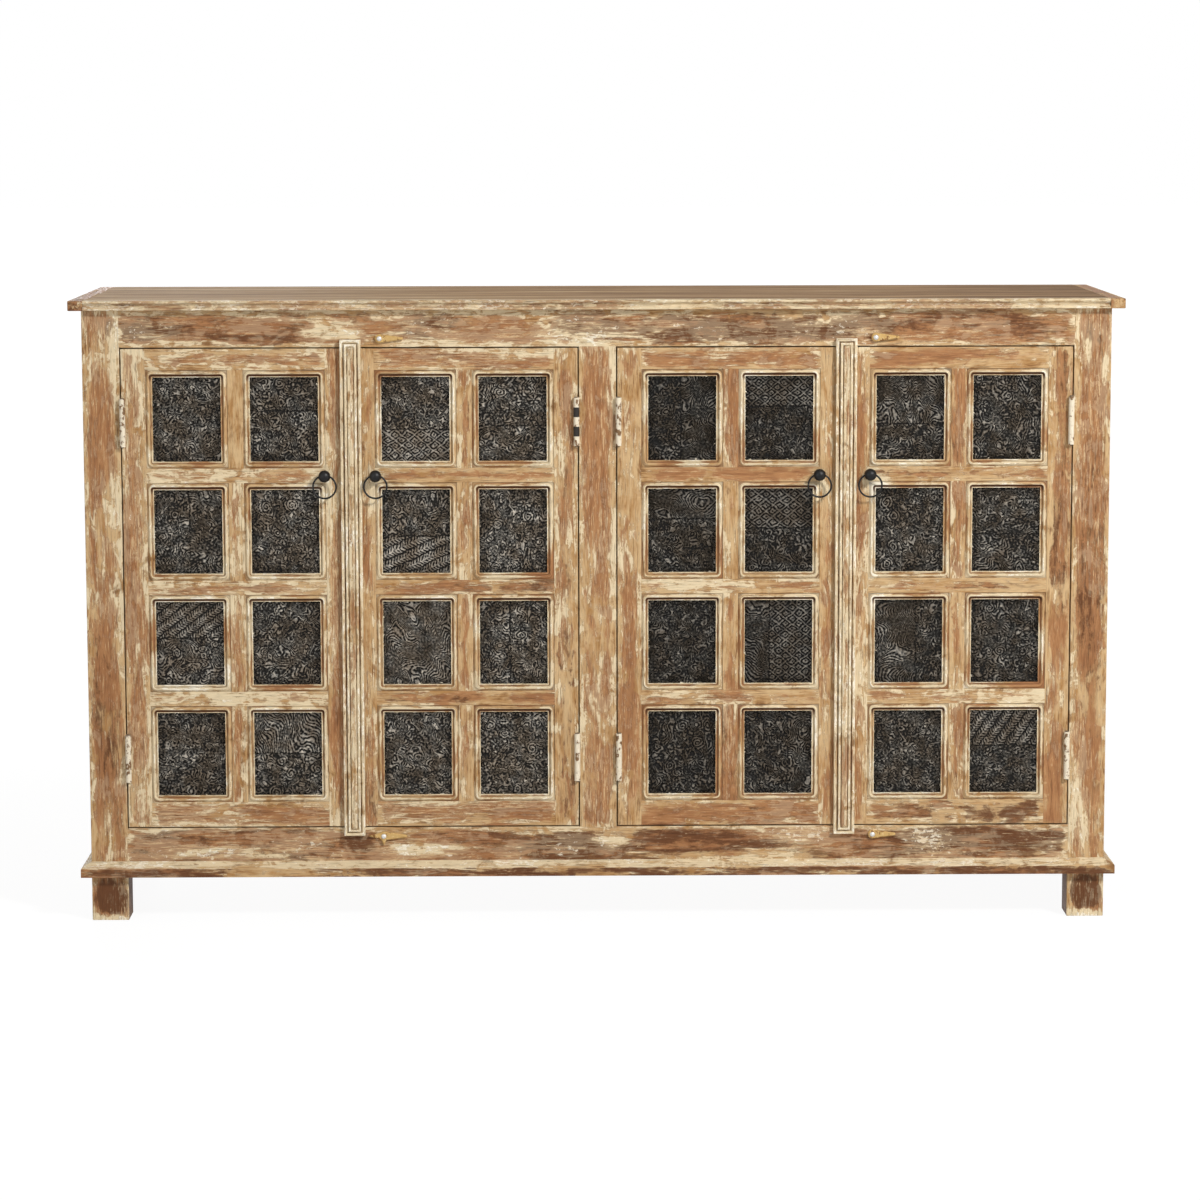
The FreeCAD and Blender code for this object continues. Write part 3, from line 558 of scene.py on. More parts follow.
def plain_wood(name, axis):
    """Timber without paint, with its grain along one axis of the object, for the inside and the back."""
    t = Tree(bpy.data.materials.new(name))
    parts = t.parts(t.place())
    gp = t.node("CombineXYZ", {k: parts[(axis + k) % 3] for k in range(3)})
    ring = t.noise(gp, (0.45, 0.035), 4, 0.55, 0.8)
    streak = t.noise(gp, (0.16, 0.006), 3, 0.6, 0.3)
    fine = t.noise(gp, (0.06, 0.0026), 3, 0.65, 0.5)
    fibre = t.noise(gp, (0.03, 0.0009), 2, 0.5)
    blend = t.sum((ring, 1.6), (streak, 1.2), (fine, 0.7))
    base = t.mix(t.step(blend, -0.35, 0.1), INNER_DARK, INNER_MID)
    base = t.mix(t.step(blend, 0, 0.5), base, INNER_LIGHT)
    base = t.shade(base, t.step(fibre, -0.3, 0.15, 0.82, 1.04))
    rough = t.step(streak, -0.3, 0.3, 0.54, 0.68)
    return t.surface(base, rough, t.sum((fibre, 0.6), (streak, 0.6)), 0.0005, 0.6, 0.18)


def top_surface(name):
    """The top's own finish: dry timber with long streaks and thin worn paint, darker to the right."""
    t = Tree(bpy.data.materials.new(name))
    gp = t.vector("gp")
    ring = t.noise(gp, (0.55, 0.045), 4, 0.55, 0.6)
    streak = t.noise(gp, (0.22, 0.007), 4, 0.62, 0.3)
    fibre = t.noise(gp, (0.05, 0.0011), 2, 0.5)
    fine = t.noise(gp, (0.08, 0.003), 3, 0.65, 0.5)
    fleck = t.noise(gp, (0.024, 0.0055), 4, 0.7, 0.6)
    blotch = t.noise(gp, (0.2, 0.05), 3, 0.6, 0.4)
    to_right = t.step(t.parts(t.place())[0], -0.2, 0.9, 0, 0.3)
    blend = t.sum((ring, 1.5), (streak, 1.8), (fine, 0.8), (to_right, -1))
    base = t.mix(t.step(blend, -0.5, 0.12), TOP_DARK, TOP_MID)
    base = t.mix(t.step(blend, 0, 0.42), base, TOP_LIGHT)
    base = t.mix(t.step(t.sum((blotch, 1), (streak, 1.2), -0.22), 0, 0.15, 0, 0.55), base, TAN)
    paint = t.step(t.sum((fleck, 1.6), (streak, 1), (blotch, 1.2), -0.56), 0, 0.12, 0, 0.6)
    base = t.mix(paint, base, CREAM)
    base = t.shade(base, t.step(fibre, -0.3, 0.12, 0.82, 1.03))
    crack = t.step(t.noise(gp, (0.11, 0.0016), 2, 0.5, 0.2), 0.16, 0.26)
    base = t.mix(t.times(crack, 0.45), base, STAIN_AND_SHADE)
    height = t.sum((fibre, 0.6), (streak, 0.5), (fine, 0.4), (paint, 0.4), (crack, -0.7))
    return t.surface(base, t.step(streak, -0.3, 0.3, 0.62, 0.74), height, 0.0006, 0.6, 0.08)


def carved_wood(name):
    """Charcoal block carving: dark hollows that are partly painted shade, ridges rubbed pale with painted
    highlights, painted shade along the border, and chips of paint along the edge.

    On these blocks the attribute that elsewhere holds painted shade and dirt holds the carving's height, and
    the first number of the look is their lightness.
    """
    t = Tree(bpy.data.materials.new(name))
    gp = t.vector("gp")
    height, edge = t.value("shade_and_dirt"), t.value("ed")
    cloud = t.noise(gp, 0.034, 3, 0.6, 0.3)
    mottle = t.noise(gp, 0.0085, 3, 0.6, 0.5)
    grit = t.noise(gp, 0.0022, 3, 0.6)
    rust = t.noise(gp, 0.018, 4, 0.65, 0.4)
    wide = t.math("ABSOLUTE", t.noise(gp, 0.0062, 2, 0.55, 0.9))
    narrow = t.math("ABSOLUTE", t.noise(gp, 0.004, 1, 0.5, 0.6))
    vein = t.sum((t.step(wide, 0, 0.05, 1, 0), 0.6), (t.step(narrow, 0, 0.045, 1, 0), 0.5))
    carved = t.sum(height, (vein, 0.1), (grit, 0.26), (mottle, 0.12), -0.04)
    ground = t.mix(t.step(cloud, -0.14, 0.14), WARM_GROUND, COOL_GROUND)
    # dark in the hollows: the blocks' dark patina, made darker as painted shade
    base = t.mix(t.step(carved, 0.1, 0.62), HOLLOW, ground)
    # painted highlight: ridge tops rubbed pale and lit, standing in for glints
    lit = t.step(t.sum((cloud, 0.9), (mottle, 0.7), (grit, 0.5)), -0.3, 0.38)
    base = t.mix(t.times(t.step(carved, 0.55, 0.92), lit), base, RUBBED_HIGHLIGHT)
    base = t.mix(t.step(rust, 0.16, 0.34, 0, 0.3), base, RUST)
    base = t.shade(base, t.step(t.sum(cloud, (mottle, 0.3)), -0.24, 0.24, 0.76, 1.22))
    # painted shade along the border of the field, where the rim shades the carving
    base = t.shade(base, t.step(t.sum(edge, (cloud, 0.02), (mottle, 0.012)), 0, 0.016, 0.52, 1))
    chip = t.step(t.sum((t.noise(gp, (0.01, 0.01, 0.004), 4, 0.65), 1), (edge, -38)), 0.05, 0.1)
    lightness = t.sum(t.parts(t.vector("look"))[0], 1)
    base = t.mix(t.times(chip, 0.85), t.shade(base, lightness), CHIP)
    rough = t.step(t.sum(height, (grit, 0.8)), 0, 1.2, 0.6, 0.36)
    bumps = t.sum((grit, 0.5), (vein, 0.4), (mottle, 0.4), (height, 0.6))
    return t.surface(base, rough, bumps, 0.0012, 0.9, 0.18)


def iron(name, main, worn, rough, metal=0, chips=None, chipped=0, bare_above=None, shine=0.25):
    """Hammered iron with rubbed high spots, or painted iron that is chipped, most above a height."""
    t = Tree(bpy.data.materials.new(name))
    place = t.place()
    dent = t.noise(place, 0.0045, 3, 0.55)
    grit = t.noise(place, 0.0012, 2, 0.5)
    base = t.mix(t.step(t.sum(dent, (grit, 0.4)), 0, 0.35), main, worn)
    if chips is not None:
        patch = t.noise(place, (0.01, 0.01, 0.014), 4, 0.65)
        base = t.mix(t.step(patch, 0.5 - chipped, 0.56 - chipped), base, chips)
        if bare_above is not None:
            above = t.step(t.parts(place)[2], bare_above - 0.01, bare_above)
            base = t.mix(above, base, t.mix(t.step(patch, 0.16, 0.24), chips, base))
    roughness = t.step(t.sum(dent, (grit, 0.5)), -0.3, 0.3, rough + 0.08, rough - 0.08)
    return t.surface(base, roughness, t.sum((dent, 0.8), (grit, 0.25)), 0.0005, 0.5, shine, metal)


PAINTED = painted_wood("painted_wood")
RAIL_PAINT = painted_wood("painted_rail", 0, 0.08, 0.12, 0.06)
MOULD_PAINT = painted_wood("painted_moulding", 0.02, 0.08, 0.12, 0.06)
RIM_PAINT = painted_wood("painted_rim", -0.14, 0.04)
TOP = top_surface("top_timber")
CARVED = carved_wood("carved_blocks")
INNER_X = plain_wood("inner_timber_x", ALONG_X)
INNER_Y = plain_wood("inner_timber_y", ALONG_Y)
INNER_Z = plain_wood("inner_timber_z", ALONG_Z)
BLACK_IRON = iron("black_iron", colour(13, 12, 12), colour(34, 32, 30), 0.42, shine=0.3)
HINGE_CREAM, HINGE_TAN = colour(226, 214, 190), colour(208, 188, 154)
HINGE_PAINT = iron("painted_hinge", HINGE_CREAM, HINGE_TAN, 0.55, chips=colour(122, 92, 62), chipped=0.47)
DARK_HINGE = iron("dark_hinge", HINGE_CREAM, HINGE_TAN, 0.5, chips=colour(44, 40, 36), chipped=0.36,
                  bare_above=0.55)
PIN_IRON = iron("hinge_pin_iron", colour(120, 104, 84), colour(168, 150, 122), 0.5, metal=0.3,
                chips=colour(60, 50, 42), chipped=0.36)
BUTTON = iron("turn_button_finish", colour(196, 160, 100), colour(222, 196, 148), 0.5,
              chips=colour(132, 92, 50), chipped=0.44)
SCREW = iron("screw_steel", colour(214, 212, 206), colour(240, 239, 235), 0.35, metal=0.5,
             chips=colour(112, 108, 102), chipped=0.36)


# Carcass
def timbers(node, spans, grain, seed, look=(0, 0, 0), body="cabinet", material=PAINTED, slot="painted_wood",
            radius=ARRIS, step=STEP, ends=0):
    """Lengths of timber in place of a node, one for each set of X, Y and Z ranges."""
    piece = Piece()
    for k, span in enumerate(spans):
        member(piece, *span, grain, seed + k, look, radius, step, ends)
    piece.build(body, node, [material])


def timber(node, grain, seed, look=(0, 0, 0), trim=(0, 0, 0), **settings):
    timbers(node, [ranges(node, trim)], grain, seed, look, **settings)


timber("front_left_post", ALONG_Z, 11, (0, -0.08, 0.08), radius=POST_ARRIS)
timber("front_right_post", ALONG_Z, 12, (-0.04, -0.12, 0.14), radius=POST_ARRIS)
timber("back_left_post", ALONG_Z, 13, radius=POST_ARRIS)
timber("back_right_post", ALONG_Z, 14, radius=POST_ARRIS)
timber("front_top_rail", ALONG_X, 15, (0.03, 0.06, 0.03), (TENON, 0, 0), material=RAIL_PAINT, ends=ARRIS)
timber("front_bottom_rail", ALONG_X, 16, (0, 0, 0.08), (TENON, 0, 0), material=RAIL_PAINT, ends=ARRIS)
timber("centre_stile", ALONG_Z, 17, (0.05, 0.06, 0.02), (0, 0, TENON), ends=ARRIS)
timber("left_side_panel", ALONG_Z, 18, (-0.05, 0, 0))
timber("right_side_panel", ALONG_Z, 19, (-0.05, 0, 0))

LEFT_WALL, RIGHT_WALL = ranges("front_left_post")[0][0], ranges("front_right_post")[0][1]
FRONT_POST, BACK_POST = ranges("front_left_post")[1], ranges("back_left_post")[1]
FRONT_WALL, BACK_WALL = FRONT_POST[0], BACK_POST[1]
RAIL_HEIGHTS = [ranges(rail)[2] for rail in ("front_bottom_rail", "front_top_rail")]
side_rails = [(x, (FRONT_POST[1], BACK_POST[0]), z)
              for x in both_ends((LEFT_WALL, RIGHT_WALL), FRAME_THICKNESS) for z in RAIL_HEIGHTS]
timbers("side_rails", side_rails, ALONG_Y, 30, (0.05, 0.05, 0), ends=ARRIS)
back_x, back_y, _ = ranges("back_rails", (TENON, 0, 0))
timbers("back_rails", [(back_x, back_y, z) for z in RAIL_HEIGHTS], ALONG_X, 36, ends=ARRIS)

# Top
top_x, top_y, top_z = ranges("top_boards")
width = (top_y[1] - top_y[0]) / TOP_BOARDS
boards = [(top_x, (top_y[0] + k * width, top_y[0] + (k + 1) * width), top_z) for k in range(TOP_BOARDS)]
timbers("top_boards", boards, ALONG_X, 40, material=TOP, slot="top_wood", radius=BOARD_ARRIS, step=BOARD_STEP)

# Radii of the two rounds of the front edging and the depth of the hollow between them
UPPER_ROUND = 0.0025
LOWER_ROUND = 0.002
EDGING_HOLLOW = 0.0024


def half_round(front, middle, radius):
    """Profile points of a half round from its top to its bottom."""
    turns = np.radians(np.linspace(90, 270, 7))
    return [(front + radius + radius * math.cos(turn), middle + radius * math.sin(turn)) for turn in turns]


def front_edging():
    x, (front, inner), (under, over) = ranges("top_edge_front")
    upper = half_round(front, over - UPPER_ROUND, UPPER_ROUND)
    lower = half_round(front, under + LOWER_ROUND, LOWER_ROUND)
    start = over - 2 * UPPER_ROUND
    hollow = [(front + EDGING_HOLLOW + EDGING_HOLLOW * math.sin(math.pi * share),
               start - share * (start - under - 2 * LOWER_ROUND)) for share in (0.2, 0.5, 0.8)]
    profile = upper + hollow + lower + [(inner, under), (inner, over)]
    # darker in the hollow between the rounds and at the back: painted shade and dirt
    shades_and_dirt = [0.05] * len(upper) + [0.35] * len(hollow) + [0.05] * len(lower) + [0.2, 0]
    piece = Piece()
    swept(piece, profile, ALONG_X, lambda point: x, 44, (0.24, 0.26, 0.4), shades_and_dirt)
    piece.build("cabinet", "top_edge_front", [MOULD_PAINT], sharp=40)


front_edging()
side_x, side_y, _ = ranges("top_edge_sides")
side_edges = [(x, side_y, ranges("top_edge_front")[2]) for x in both_ends(side_x, TOP_EDGING)]
timbers("top_edge_sides", side_edges, ALONG_Y, 46, (0.45, 0.2, -0.15), material=MOULD_PAINT, radius=END_ARRIS)


def base_moulding():
    """Mitred moulding along the front and both sides: a worn band, and a paler slope up to the wall."""
    _, (front, _), (foot, crown) = ranges("base_moulding_front")
    reach = FRONT_WALL - front
    band, bend, slope = (0.5, 0.6, -0.16), (0, 0.2, 0.3), (-0.3, 0, 0.34)
    # distance out from the wall, height, painted shade and dirt, and change in wear, brown and white
    section = [
        (0, foot, 0.2, band),
        (reach, foot, 0.25, band),
        (reach, foot + 0.004, 0.1, band),
        (reach, foot + 0.009, 0.05, band),
        (reach, crown - 0.007, 0.2, band),
        (reach - 0.0006, crown - 0.0053, 0.1, bend),
        (reach - 0.0018, crown - 0.0043, 0, slope),
        (reach - 0.003, crown - 0.004, 0, slope),
        (reach - 0.008, crown - 0.0008, 0, slope),
        (0, crown + 0.004, 0.05, slope),
    ]
    outs, heights, shades_and_dirt, looks = zip(*section)

    def front_ends(point):
        out = FRONT_WALL - point[0]
        return LEFT_WALL - out, RIGHT_WALL + out

    piece = Piece()
    profile = [(FRONT_WALL - out, height) for out, height in zip(outs, heights)]
    swept(piece, profile, ALONG_X, front_ends, 50, looks, shades_and_dirt)
    piece.build("cabinet", "base_moulding_front", [MOULD_PAINT], sharp=30)
    piece = Piece()
    for k, (wall, side) in enumerate(((LEFT_WALL, -1), (RIGHT_WALL, 1))):
        profile = [(wall + side * out, height) for out, height in zip(outs, heights)]
        swept(piece, profile, ALONG_Y,
              lambda point, wall=wall: (FRONT_WALL - abs(point[0] - wall), BACK_WALL), 52 + k, looks, shades_and_dirt)
    piece.build("cabinet", "base_moulding_sides", [MOULD_PAINT], sharp=30)


base_moulding()


# Carving: each pattern gives heights from 0 to 1 at points x, z in metres, with ridges one wave apart
def uneven(x, z, rng, size):
    """Smooth random heights over the points, mostly from -1 to 1."""
    flat = np.stack([x.ravel(), z.ravel(), np.zeros(x.size)], 1)
    return random_field(rng.integers(1 << 30), (size, size, size))(flat).reshape(x.shape)


def ridge(turns):
    """Rounded ridges, one for each whole turn."""
    return 0.5 + 0.5 * np.cos(2 * math.pi * turns)


def crest(value, width):
    """Height 1 where the value is 0, falling to 0 at that distance from it."""
    return np.clip(1 - np.abs(value) / width, 0, 1)


def wriggles(shape, cell, wave, spread, rng):
    """Winding ridges of about one wavelength and of even height: noise kept to a ring of frequencies."""
    along, up = np.fft.fftfreq(shape[0], cell[0])[:, None], np.fft.fftfreq(shape[1], cell[1])[None, :]
    turns = np.hypot(along, up) * wave
    noise = np.fft.ifft2(np.fft.fft2(rng.normal(size=shape)) * np.exp(-((turns - 1) / spread) ** 2)).real
    power = np.fft.ifft2(np.fft.fft2(noise ** 2) * np.exp(-(1.6 * turns) ** 2)).real
    return noise / np.sqrt(2 * np.maximum(power, 1e-6 * power.max()))


def flow(x, z, rng):
    """Distance along a random direction."""
    angle = rng.uniform(0, 2 * math.pi)
    return x * math.cos(angle) + z * math.sin(angle)


def whorls(x, z, rng, wave):
    """Long ridges that wind round each other like the grain round a knot."""
    bent = flow(x, z, rng) + 0.018 * uneven(x, z, rng, 0.042) + 0.001 * uneven(x, z, rng, 0.01)
    return ridge(bent / wave)


def strokes(x, z, rng, wave):
    """Short curved cuts that turn from place to place."""
    turns = (flow(x, z, rng) + 0.0075 * uneven(x, z, rng, 0.0155)) / wave
    return ridge(turns) * (0.35 + 0.65 * smooth(uneven(x, z, rng, 0.0075), -1, -0.3))


def trellis(x, z, rng, wave):
    """Diamonds in diamonds."""
    u, v = x / (wave * 4.9), z / (wave * 3.9)
    a, b = np.abs((u + v) % 1 - 0.5) * 2, np.abs((u - v) % 1 - 0.5) * 2
    return ridge(np.maximum(a, b) * 1.5 + 0.5)


def leaves(x, z, rng, wave):
    """Sprigs of leaves on slanting stems."""
    tilt = rng.uniform(0.4, 1.1)
    u = (x * math.cos(tilt) + z * math.sin(tilt)) / wave
    v = (z * math.cos(tilt) - x * math.sin(tilt)) / wave / 3.6
    row = np.floor(v)
    v = v - row - 0.5
    blade = ridge((u + 0.5 * row) * 0.9 - np.abs(v) * 2.2)
    return np.maximum(blade * smooth(0.48 - np.abs(v), 0, 0.12), crest(v, 0.1))


def scrolls(x, z, rng, wave):
    """Scrolls, rings and rosettes, with short cuts between them."""
    ground = strokes(x, z, rng, wave)
    for _ in range(rng.integers(12, 18)):
        cx, cz = rng.uniform(x.min(), x.max()), rng.uniform(z.min(), z.max())
        size = rng.uniform(1.3, 2.7) * wave
        dx, dz = x - cx, (z - cz) * rng.uniform(0.8, 1.3)
        r, angle = np.hypot(dx, dz), np.arctan2(dz, dx) + rng.uniform(0, 2 * math.pi)
        kind = rng.choice(("scroll", "ring", "rosette"), p=(0.45, 0.1, 0.45))
        if kind == "scroll":
            h = ridge(r / wave + rng.choice([-1, 1]) * angle / (2 * math.pi))
        elif kind == "ring":
            h = ridge(r / wave)
        else:
            petals = ridge(angle * rng.integers(5, 9) / (2 * math.pi))
            h = petals * smooth(r, 0.4 * wave, 0.9 * wave) + crest(r, 0.6 * wave)
        limit = size * (1 + 0.25 * np.cos(2 * angle))
        cover = smooth(limit - r, -0.2 * wave, 0.3 * wave)
        ground = ground * (1 - cover) + np.clip(h, 0, 1) * cover
        ground = ground * (1 - 0.8 * crest(r - limit, 0.45 * wave))
    return ground


PATTERNS = {"whorls": whorls, "strokes": strokes, "trellis": trellis, "leaves": leaves, "scrolls": scrolls}
# For each door, left to right, the patterns of the blocks in its eight panels, in rows from the top
BLOCKS = [
    "strokes, scrolls strokes, strokes scrolls, scrolls, leaves scrolls, strokes, strokes, whorls scrolls",
    "strokes trellis, scrolls strokes, strokes leaves, scrolls, whorls, scrolls strokes, strokes, scrolls",
    "whorls scrolls, trellis strokes, whorls strokes, trellis scrolls, strokes, trellis whorls, scrolls, "
    "whorls strokes",
    "whorls strokes, scrolls, scrolls, strokes scrolls, strokes whorls, scrolls, strokes, leaves strokes",
]
# Lightness of the carving on each door, as a change from 1
TONES = (0.6, 0.76, -0.18, 0.18)
# Cells across and up one panel's carving, and the depths of its hollows and ridges behind the door's face
CELLS = (128, 158)
RELIEF_LOW = 0.0059
RELIEF_HIGH = 0.0028


def relief(names, width, height, seed):
    """Heights from 0 to 1 of one panel's carving, made of one or two blocks set side by side."""
    rng = np.random.default_rng(seed)
    across, up = np.linspace(0, width, CELLS[0] + 1), np.linspace(0, height, CELLS[1] + 1)
    x, z = np.meshgrid(across, up, indexing="ij")
    u, v = x + 0.0006 * uneven(x, z, rng, 0.01), z + 0.0006 * uneven(x, z, rng, 0.01)
    cell = (x[1, 0] - x[0, 0], z[0, 1] - z[0, 0])
    made = [PATTERNS[name](u, v, rng, rng.uniform(0.0039, 0.0047)) for name in names.split()]
    total = made[0]
    if len(made) > 1:
        cut = rng.uniform(0.35, 0.65)
        place = (v / height if rng.random() < 0.7 else u / width) + 0.01 * rng.normal()
        total = np.where(place > cut, made[0], made[1]) * smooth(np.abs(place - cut), 0, 0.014)
    cuts = smooth(wriggles(x.shape, cell, 0.0056, 0.42, rng), -0.6, 1.1)
    lines = np.exp(-(wriggles(x.shape, cell, 0.009, 0.35, rng) / 0.3) ** 2)
    worn = 0.96 + 0.1 * uneven(x, z, rng, 0.012) + 0.08 * uneven(x, z, rng, 0.003)
    return x, z, smooth((0.56 * total + 0.28 * cuts + 0.16 * lines) * worn, 0.02, 0.8)


def carved_field(piece, left, foot, width, height, face, names, seed, tone):
    """Carving of one panel, from its lower left corner. The attribute that elsewhere holds painted shade and
    dirt holds its height from 0 to 1.
    """
    x, z, h = relief(names, width, height, seed)
    rim = np.minimum.reduce([x, width - x, z, height - z])
    y = face + RELIEF_LOW - (RELIEF_LOW - RELIEF_HIGH) * smooth(h, 0, 1)
    co = np.stack([left + x, y, foot + z], -1).reshape(-1, 3)
    quads = grid_quads(CELLS[0] + 1, CELLS[1] + 1)
    grain = co + np.random.default_rng(seed + 2).uniform(-3, 3, 3)
    piece.add(co, quads, grain, (tone, 0, 0), rim.ravel(), h.ravel(), 1)


# Doors: change in wear, brown and white of each one's timber
DOOR_LOOKS = ((-0.06, -0.02, 0.1), (0, 0.04, -0.02), (-0.02, 0.1, -0.04), (0.06, 0.26, -0.1))

# Rim round each panel: inset, depth behind the door's face, change in wear, brown and white,
# painted shade and dirt all round, and painted shade along the top. The whiter crest of the bead is
# cream paint with a painted highlight.
RIM = [
    (0.0002, 0.0058, (0.2, 0, 0), 0.6, 0.3),
    (0.0002, 0.0013, (0.2, 0, 0), 0.44, 0.5),
    (0.0012, 0.0011, (0.2, 0, 0), 0.36, 0.5),
    (0.002, 0.0004, (0.1, 0, 0), 0.16, 0.2),
    (0.0026, -0.0006, (0, 0, 0), 0.04, 0),
    # the bead's crest: cream paint with a painted highlight
    (0.0036, -0.0016, (-0.1, 0, 0.2), 0, 0),
    (0.0046, -0.002, (-0.2, 0, 0.38), 0, 0),
    (0.0056, -0.0018, (-0.1, 0, 0.2), 0, 0.2),
    (0.0062, -0.0012, (0, 0, 0), 0.05, 0.8),
    # the bead's inner slope and the hollow: painted shade and dirt, with painted shade along the top
    (0.007, -0.0004, (0.2, 0.1, -0.1), 0.28, 1),
    (0.0078, 0.001, (0.3, 0.2, -0.2), 0.52, 1),
    (0.0085, 0.0016, (0.3, 0.2, -0.2), 0.54, 1),
    (0.0094, 0.0016, (0.2, 0, 0), 0.2, 0.9),
    (0.0102, 0.0016, (0, 0, 0.3), 0, 0.3),
    (0.0109, 0.0017, (-0.1, 0, 0.52), 0, 0),
    (0.0111, 0.0022, (0, 0, 0.25), 0.1, 0.1),
    (0.0112, 0.0062, (0.3, 0.5, 0), 0.8, 0.9),
]


def rim_radius(inset):
    """Corner radius of the rim: sharp in the opening, round at the front and smaller towards the field."""
    return max(0.009 - 1.05 * (inset - 0.002), 0.0004) if inset > 0.001 else 0.0004


def leaf(door):
    """Low and high end of a door's frame along X, Y and Z."""
    x, y, z = ranges("door_%d_stiles" % door)
    return x, (y[0], y[0] + DOOR_THICKNESS), z


def openings(door):
    """Width and height of a door's panel openings, their left sides, and their feet from the top row down."""
    x, _, z = leaf(door)
    width = (x[1] - x[0] - 2 * DOOR_STILE - DOOR_UPRIGHT) / COLUMNS
    height = (z[1] - z[0] - DOOR_TOP_RAIL - DOOR_BOTTOM_RAIL - (ROWS - 1) * DOOR_CROSS_RAIL) / ROWS
    lefts = [x[0] + DOOR_STILE + column * (width + DOOR_UPRIGHT) for column in range(COLUMNS)]
    feet = [z[1] - DOOR_TOP_RAIL - row * (height + DOOR_CROSS_RAIL) - height for row in range(ROWS)]
    return width, height, lefts, feet


def door_frame(door):
    body = "door_%d" % door
    x, y, z = leaf(door)
    width, height, _, feet = openings(door)
    seed = 100 * door
    own = np.array(DOOR_LOOKS[door - 1])
    stiles = [(stile, y, z) for stile in both_ends(x, DOOR_STILE)]
    timbers(body + "_stiles", stiles, ALONG_Z, seed, own + (0, -0.05, 0.02), body)
    levels = [(foot - DOOR_CROSS_RAIL, foot) for foot in feet[:-1]]
    levels = [(z[1] - DOOR_TOP_RAIL, z[1])] + levels + [(z[0], z[0] + DOOR_BOTTOM_RAIL)]
    rails = [(within(x, DOOR_STILE), y, level) for level in levels]
    timbers(body + "_rails", rails, ALONG_X, seed + 10, own + (0.08, 0, -0.05), body, ends=ARRIS)
    left = x[0] + DOOR_STILE + width
    uprights = [((left, left + DOOR_UPRIGHT), y, (foot, foot + height)) for foot in feet]
    timbers(body + "_uprights", uprights, ALONG_Z, seed + 20, own + (0.08, -0.05, 0), body, ends=ARRIS)


def door_panels(door):
    """The carved blocks of a door, each with its moulded rim and the board behind it."""
    body = "door_%d" % door
    face = leaf(door)[1][0]
    width, height, lefts, feet = openings(door)
    seed = 100 * door
    rows = [(inset, face + depth, *rest) for inset, depth, *rest in RIM]
    board = (face + PANEL_FRONT, face + PANEL_BACK)
    piece = Piece()
    for k, (left, foot) in enumerate((left, foot) for foot in feet for left in lefts):
        x, z = (left, left + width), (foot, foot + height)
        framed(piece, x, z, rows, rim_radius, seed + 30 + k, (0, 0, 0.1), 0.25)
        member(piece, within(x, PANEL_MARGIN), board, within(z, PANEL_MARGIN), ALONG_Z, seed + 50 + k,
               (0.1, 0, 0), step=HIDDEN_STEP)
        names = BLOCKS[door - 1].split(", ")[k]
        tone = TONES[door - 1] + 0.07 * math.sin(seed + 5 * k)
        carved_field(piece, left + FIELD_INSET, foot + FIELD_INSET, width - 2 * FIELD_INSET,
                     height - 2 * FIELD_INSET, face, names, seed + 60 + k, tone)
    piece.build(body, body + "_carved_panels", [RIM_PAINT, CARVED])


# Section of the cover strips: inset, height from the face, change in wear, brown and white, and painted shade
# and dirt, most in the grooves. The whiter crests are cream paint with a painted highlight.
STRIP = [
    (0, 0.0004, (0, 0, 0), 0.3),
    (0, 0.008, (0, 0, 0.2), 0),
    (0.0003, 0.0087, (-0.1, 0, 0.35), 0),
    (0.001, 0.009, (-0.1, 0, 0.4), 0),
    (0.003, 0.009, (-0.05, 0, 0.25), 0),
    (0.0045, 0.0087, (0, 0, 0.1), 0.12),
    (0.005, 0.006, (0.2, 0, 0), 0.38),
    (0.007, 0.006, (0.2, 0, 0), 0.38),
    (0.007, 0.0101, (0, 0, 0.1), 0.12),
    (0.0073, 0.0107, (-0.1, 0, 0.35), 0),
    (0.008, 0.011, (-0.1, 0, 0.42), 0),
    (0.01, 0.011, (-0.05, 0, 0.3), 0),
    (0.0109, 0.0106, (0, 0, 0.1), 0.12),
    (0.011, 0.009, (0.2, 0, 0), 0.34),
    (0.0125, 0.009, (0.2, 0, 0), 0.34),
    (0.0125, 0.0111, (0.1, 0, 0.1), 0.08),
    (0.0128, 0.0117, (0.1, 0, 0.15), 0),
    (0.0135, 0.012, (0.22, 0, 0.12), 0),
    (0.0152, 0.012, (0.28, 0, 0.08), 0),
    (0.0169, 0.012, (0.28, 0, 0.08), 0),
]
STRIP_CORNER = 0.0006
# The plain strips behind the mouldings: how far they stay inside them, and how deep they start
STRIP_MARGIN = 0.0004
STRIP_BACK = 0.0045
REBATE_MARGIN = 0.0005
REBATE_TOP = 0.0001


def cover_strip(door):
    """Reeded strip over a pair's meeting line, with the plain strips behind it."""
    body = "door_%d" % door
    x, _, z = ranges(body + "_cover_strip")
    leaf_x, _, leaf_z = leaf(door)
    x = (x[0], x[0] + STRIP_WIDTH)
    rows = [(inset, FACE_Y - height, change, shade_and_dirt, shade_and_dirt) for inset, height, change, shade_and_dirt in STRIP]
    piece = Piece()
    framed(piece, x, z, rows, lambda inset: STRIP_CORNER, 700 + door, (-0.05, 0.02, 0.15), 0.08)
    backs = (
        ((leaf_x[0], x[1] - REBATE_MARGIN), (FACE_Y - STRIP_REBATE, FACE_Y - REBATE_TOP), leaf_z),
        (within(x, STRIP_MARGIN), (FACE_Y - STRIP_BACK, FACE_Y - STRIP_RELIEF), within(z, STRIP_MARGIN)),
    )
    for k, spans in enumerate(backs):
        member(piece, *spans, ALONG_Z, 720 + 10 * k + door, radius=HIDDEN_ARRIS, step=HIDDEN_STEP)
    piece.build(body, body + "_cover_strip", [MOULD_PAINT], sharp=40)


# Solids whose shape is right keep it and get their finish
def finish_node(node, material):
    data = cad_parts[node].data
    data.materials.clear()
    data.materials.append(material)
    data.polygons.foreach_set("material_index", np.zeros(len(data.polygons), np.int32))


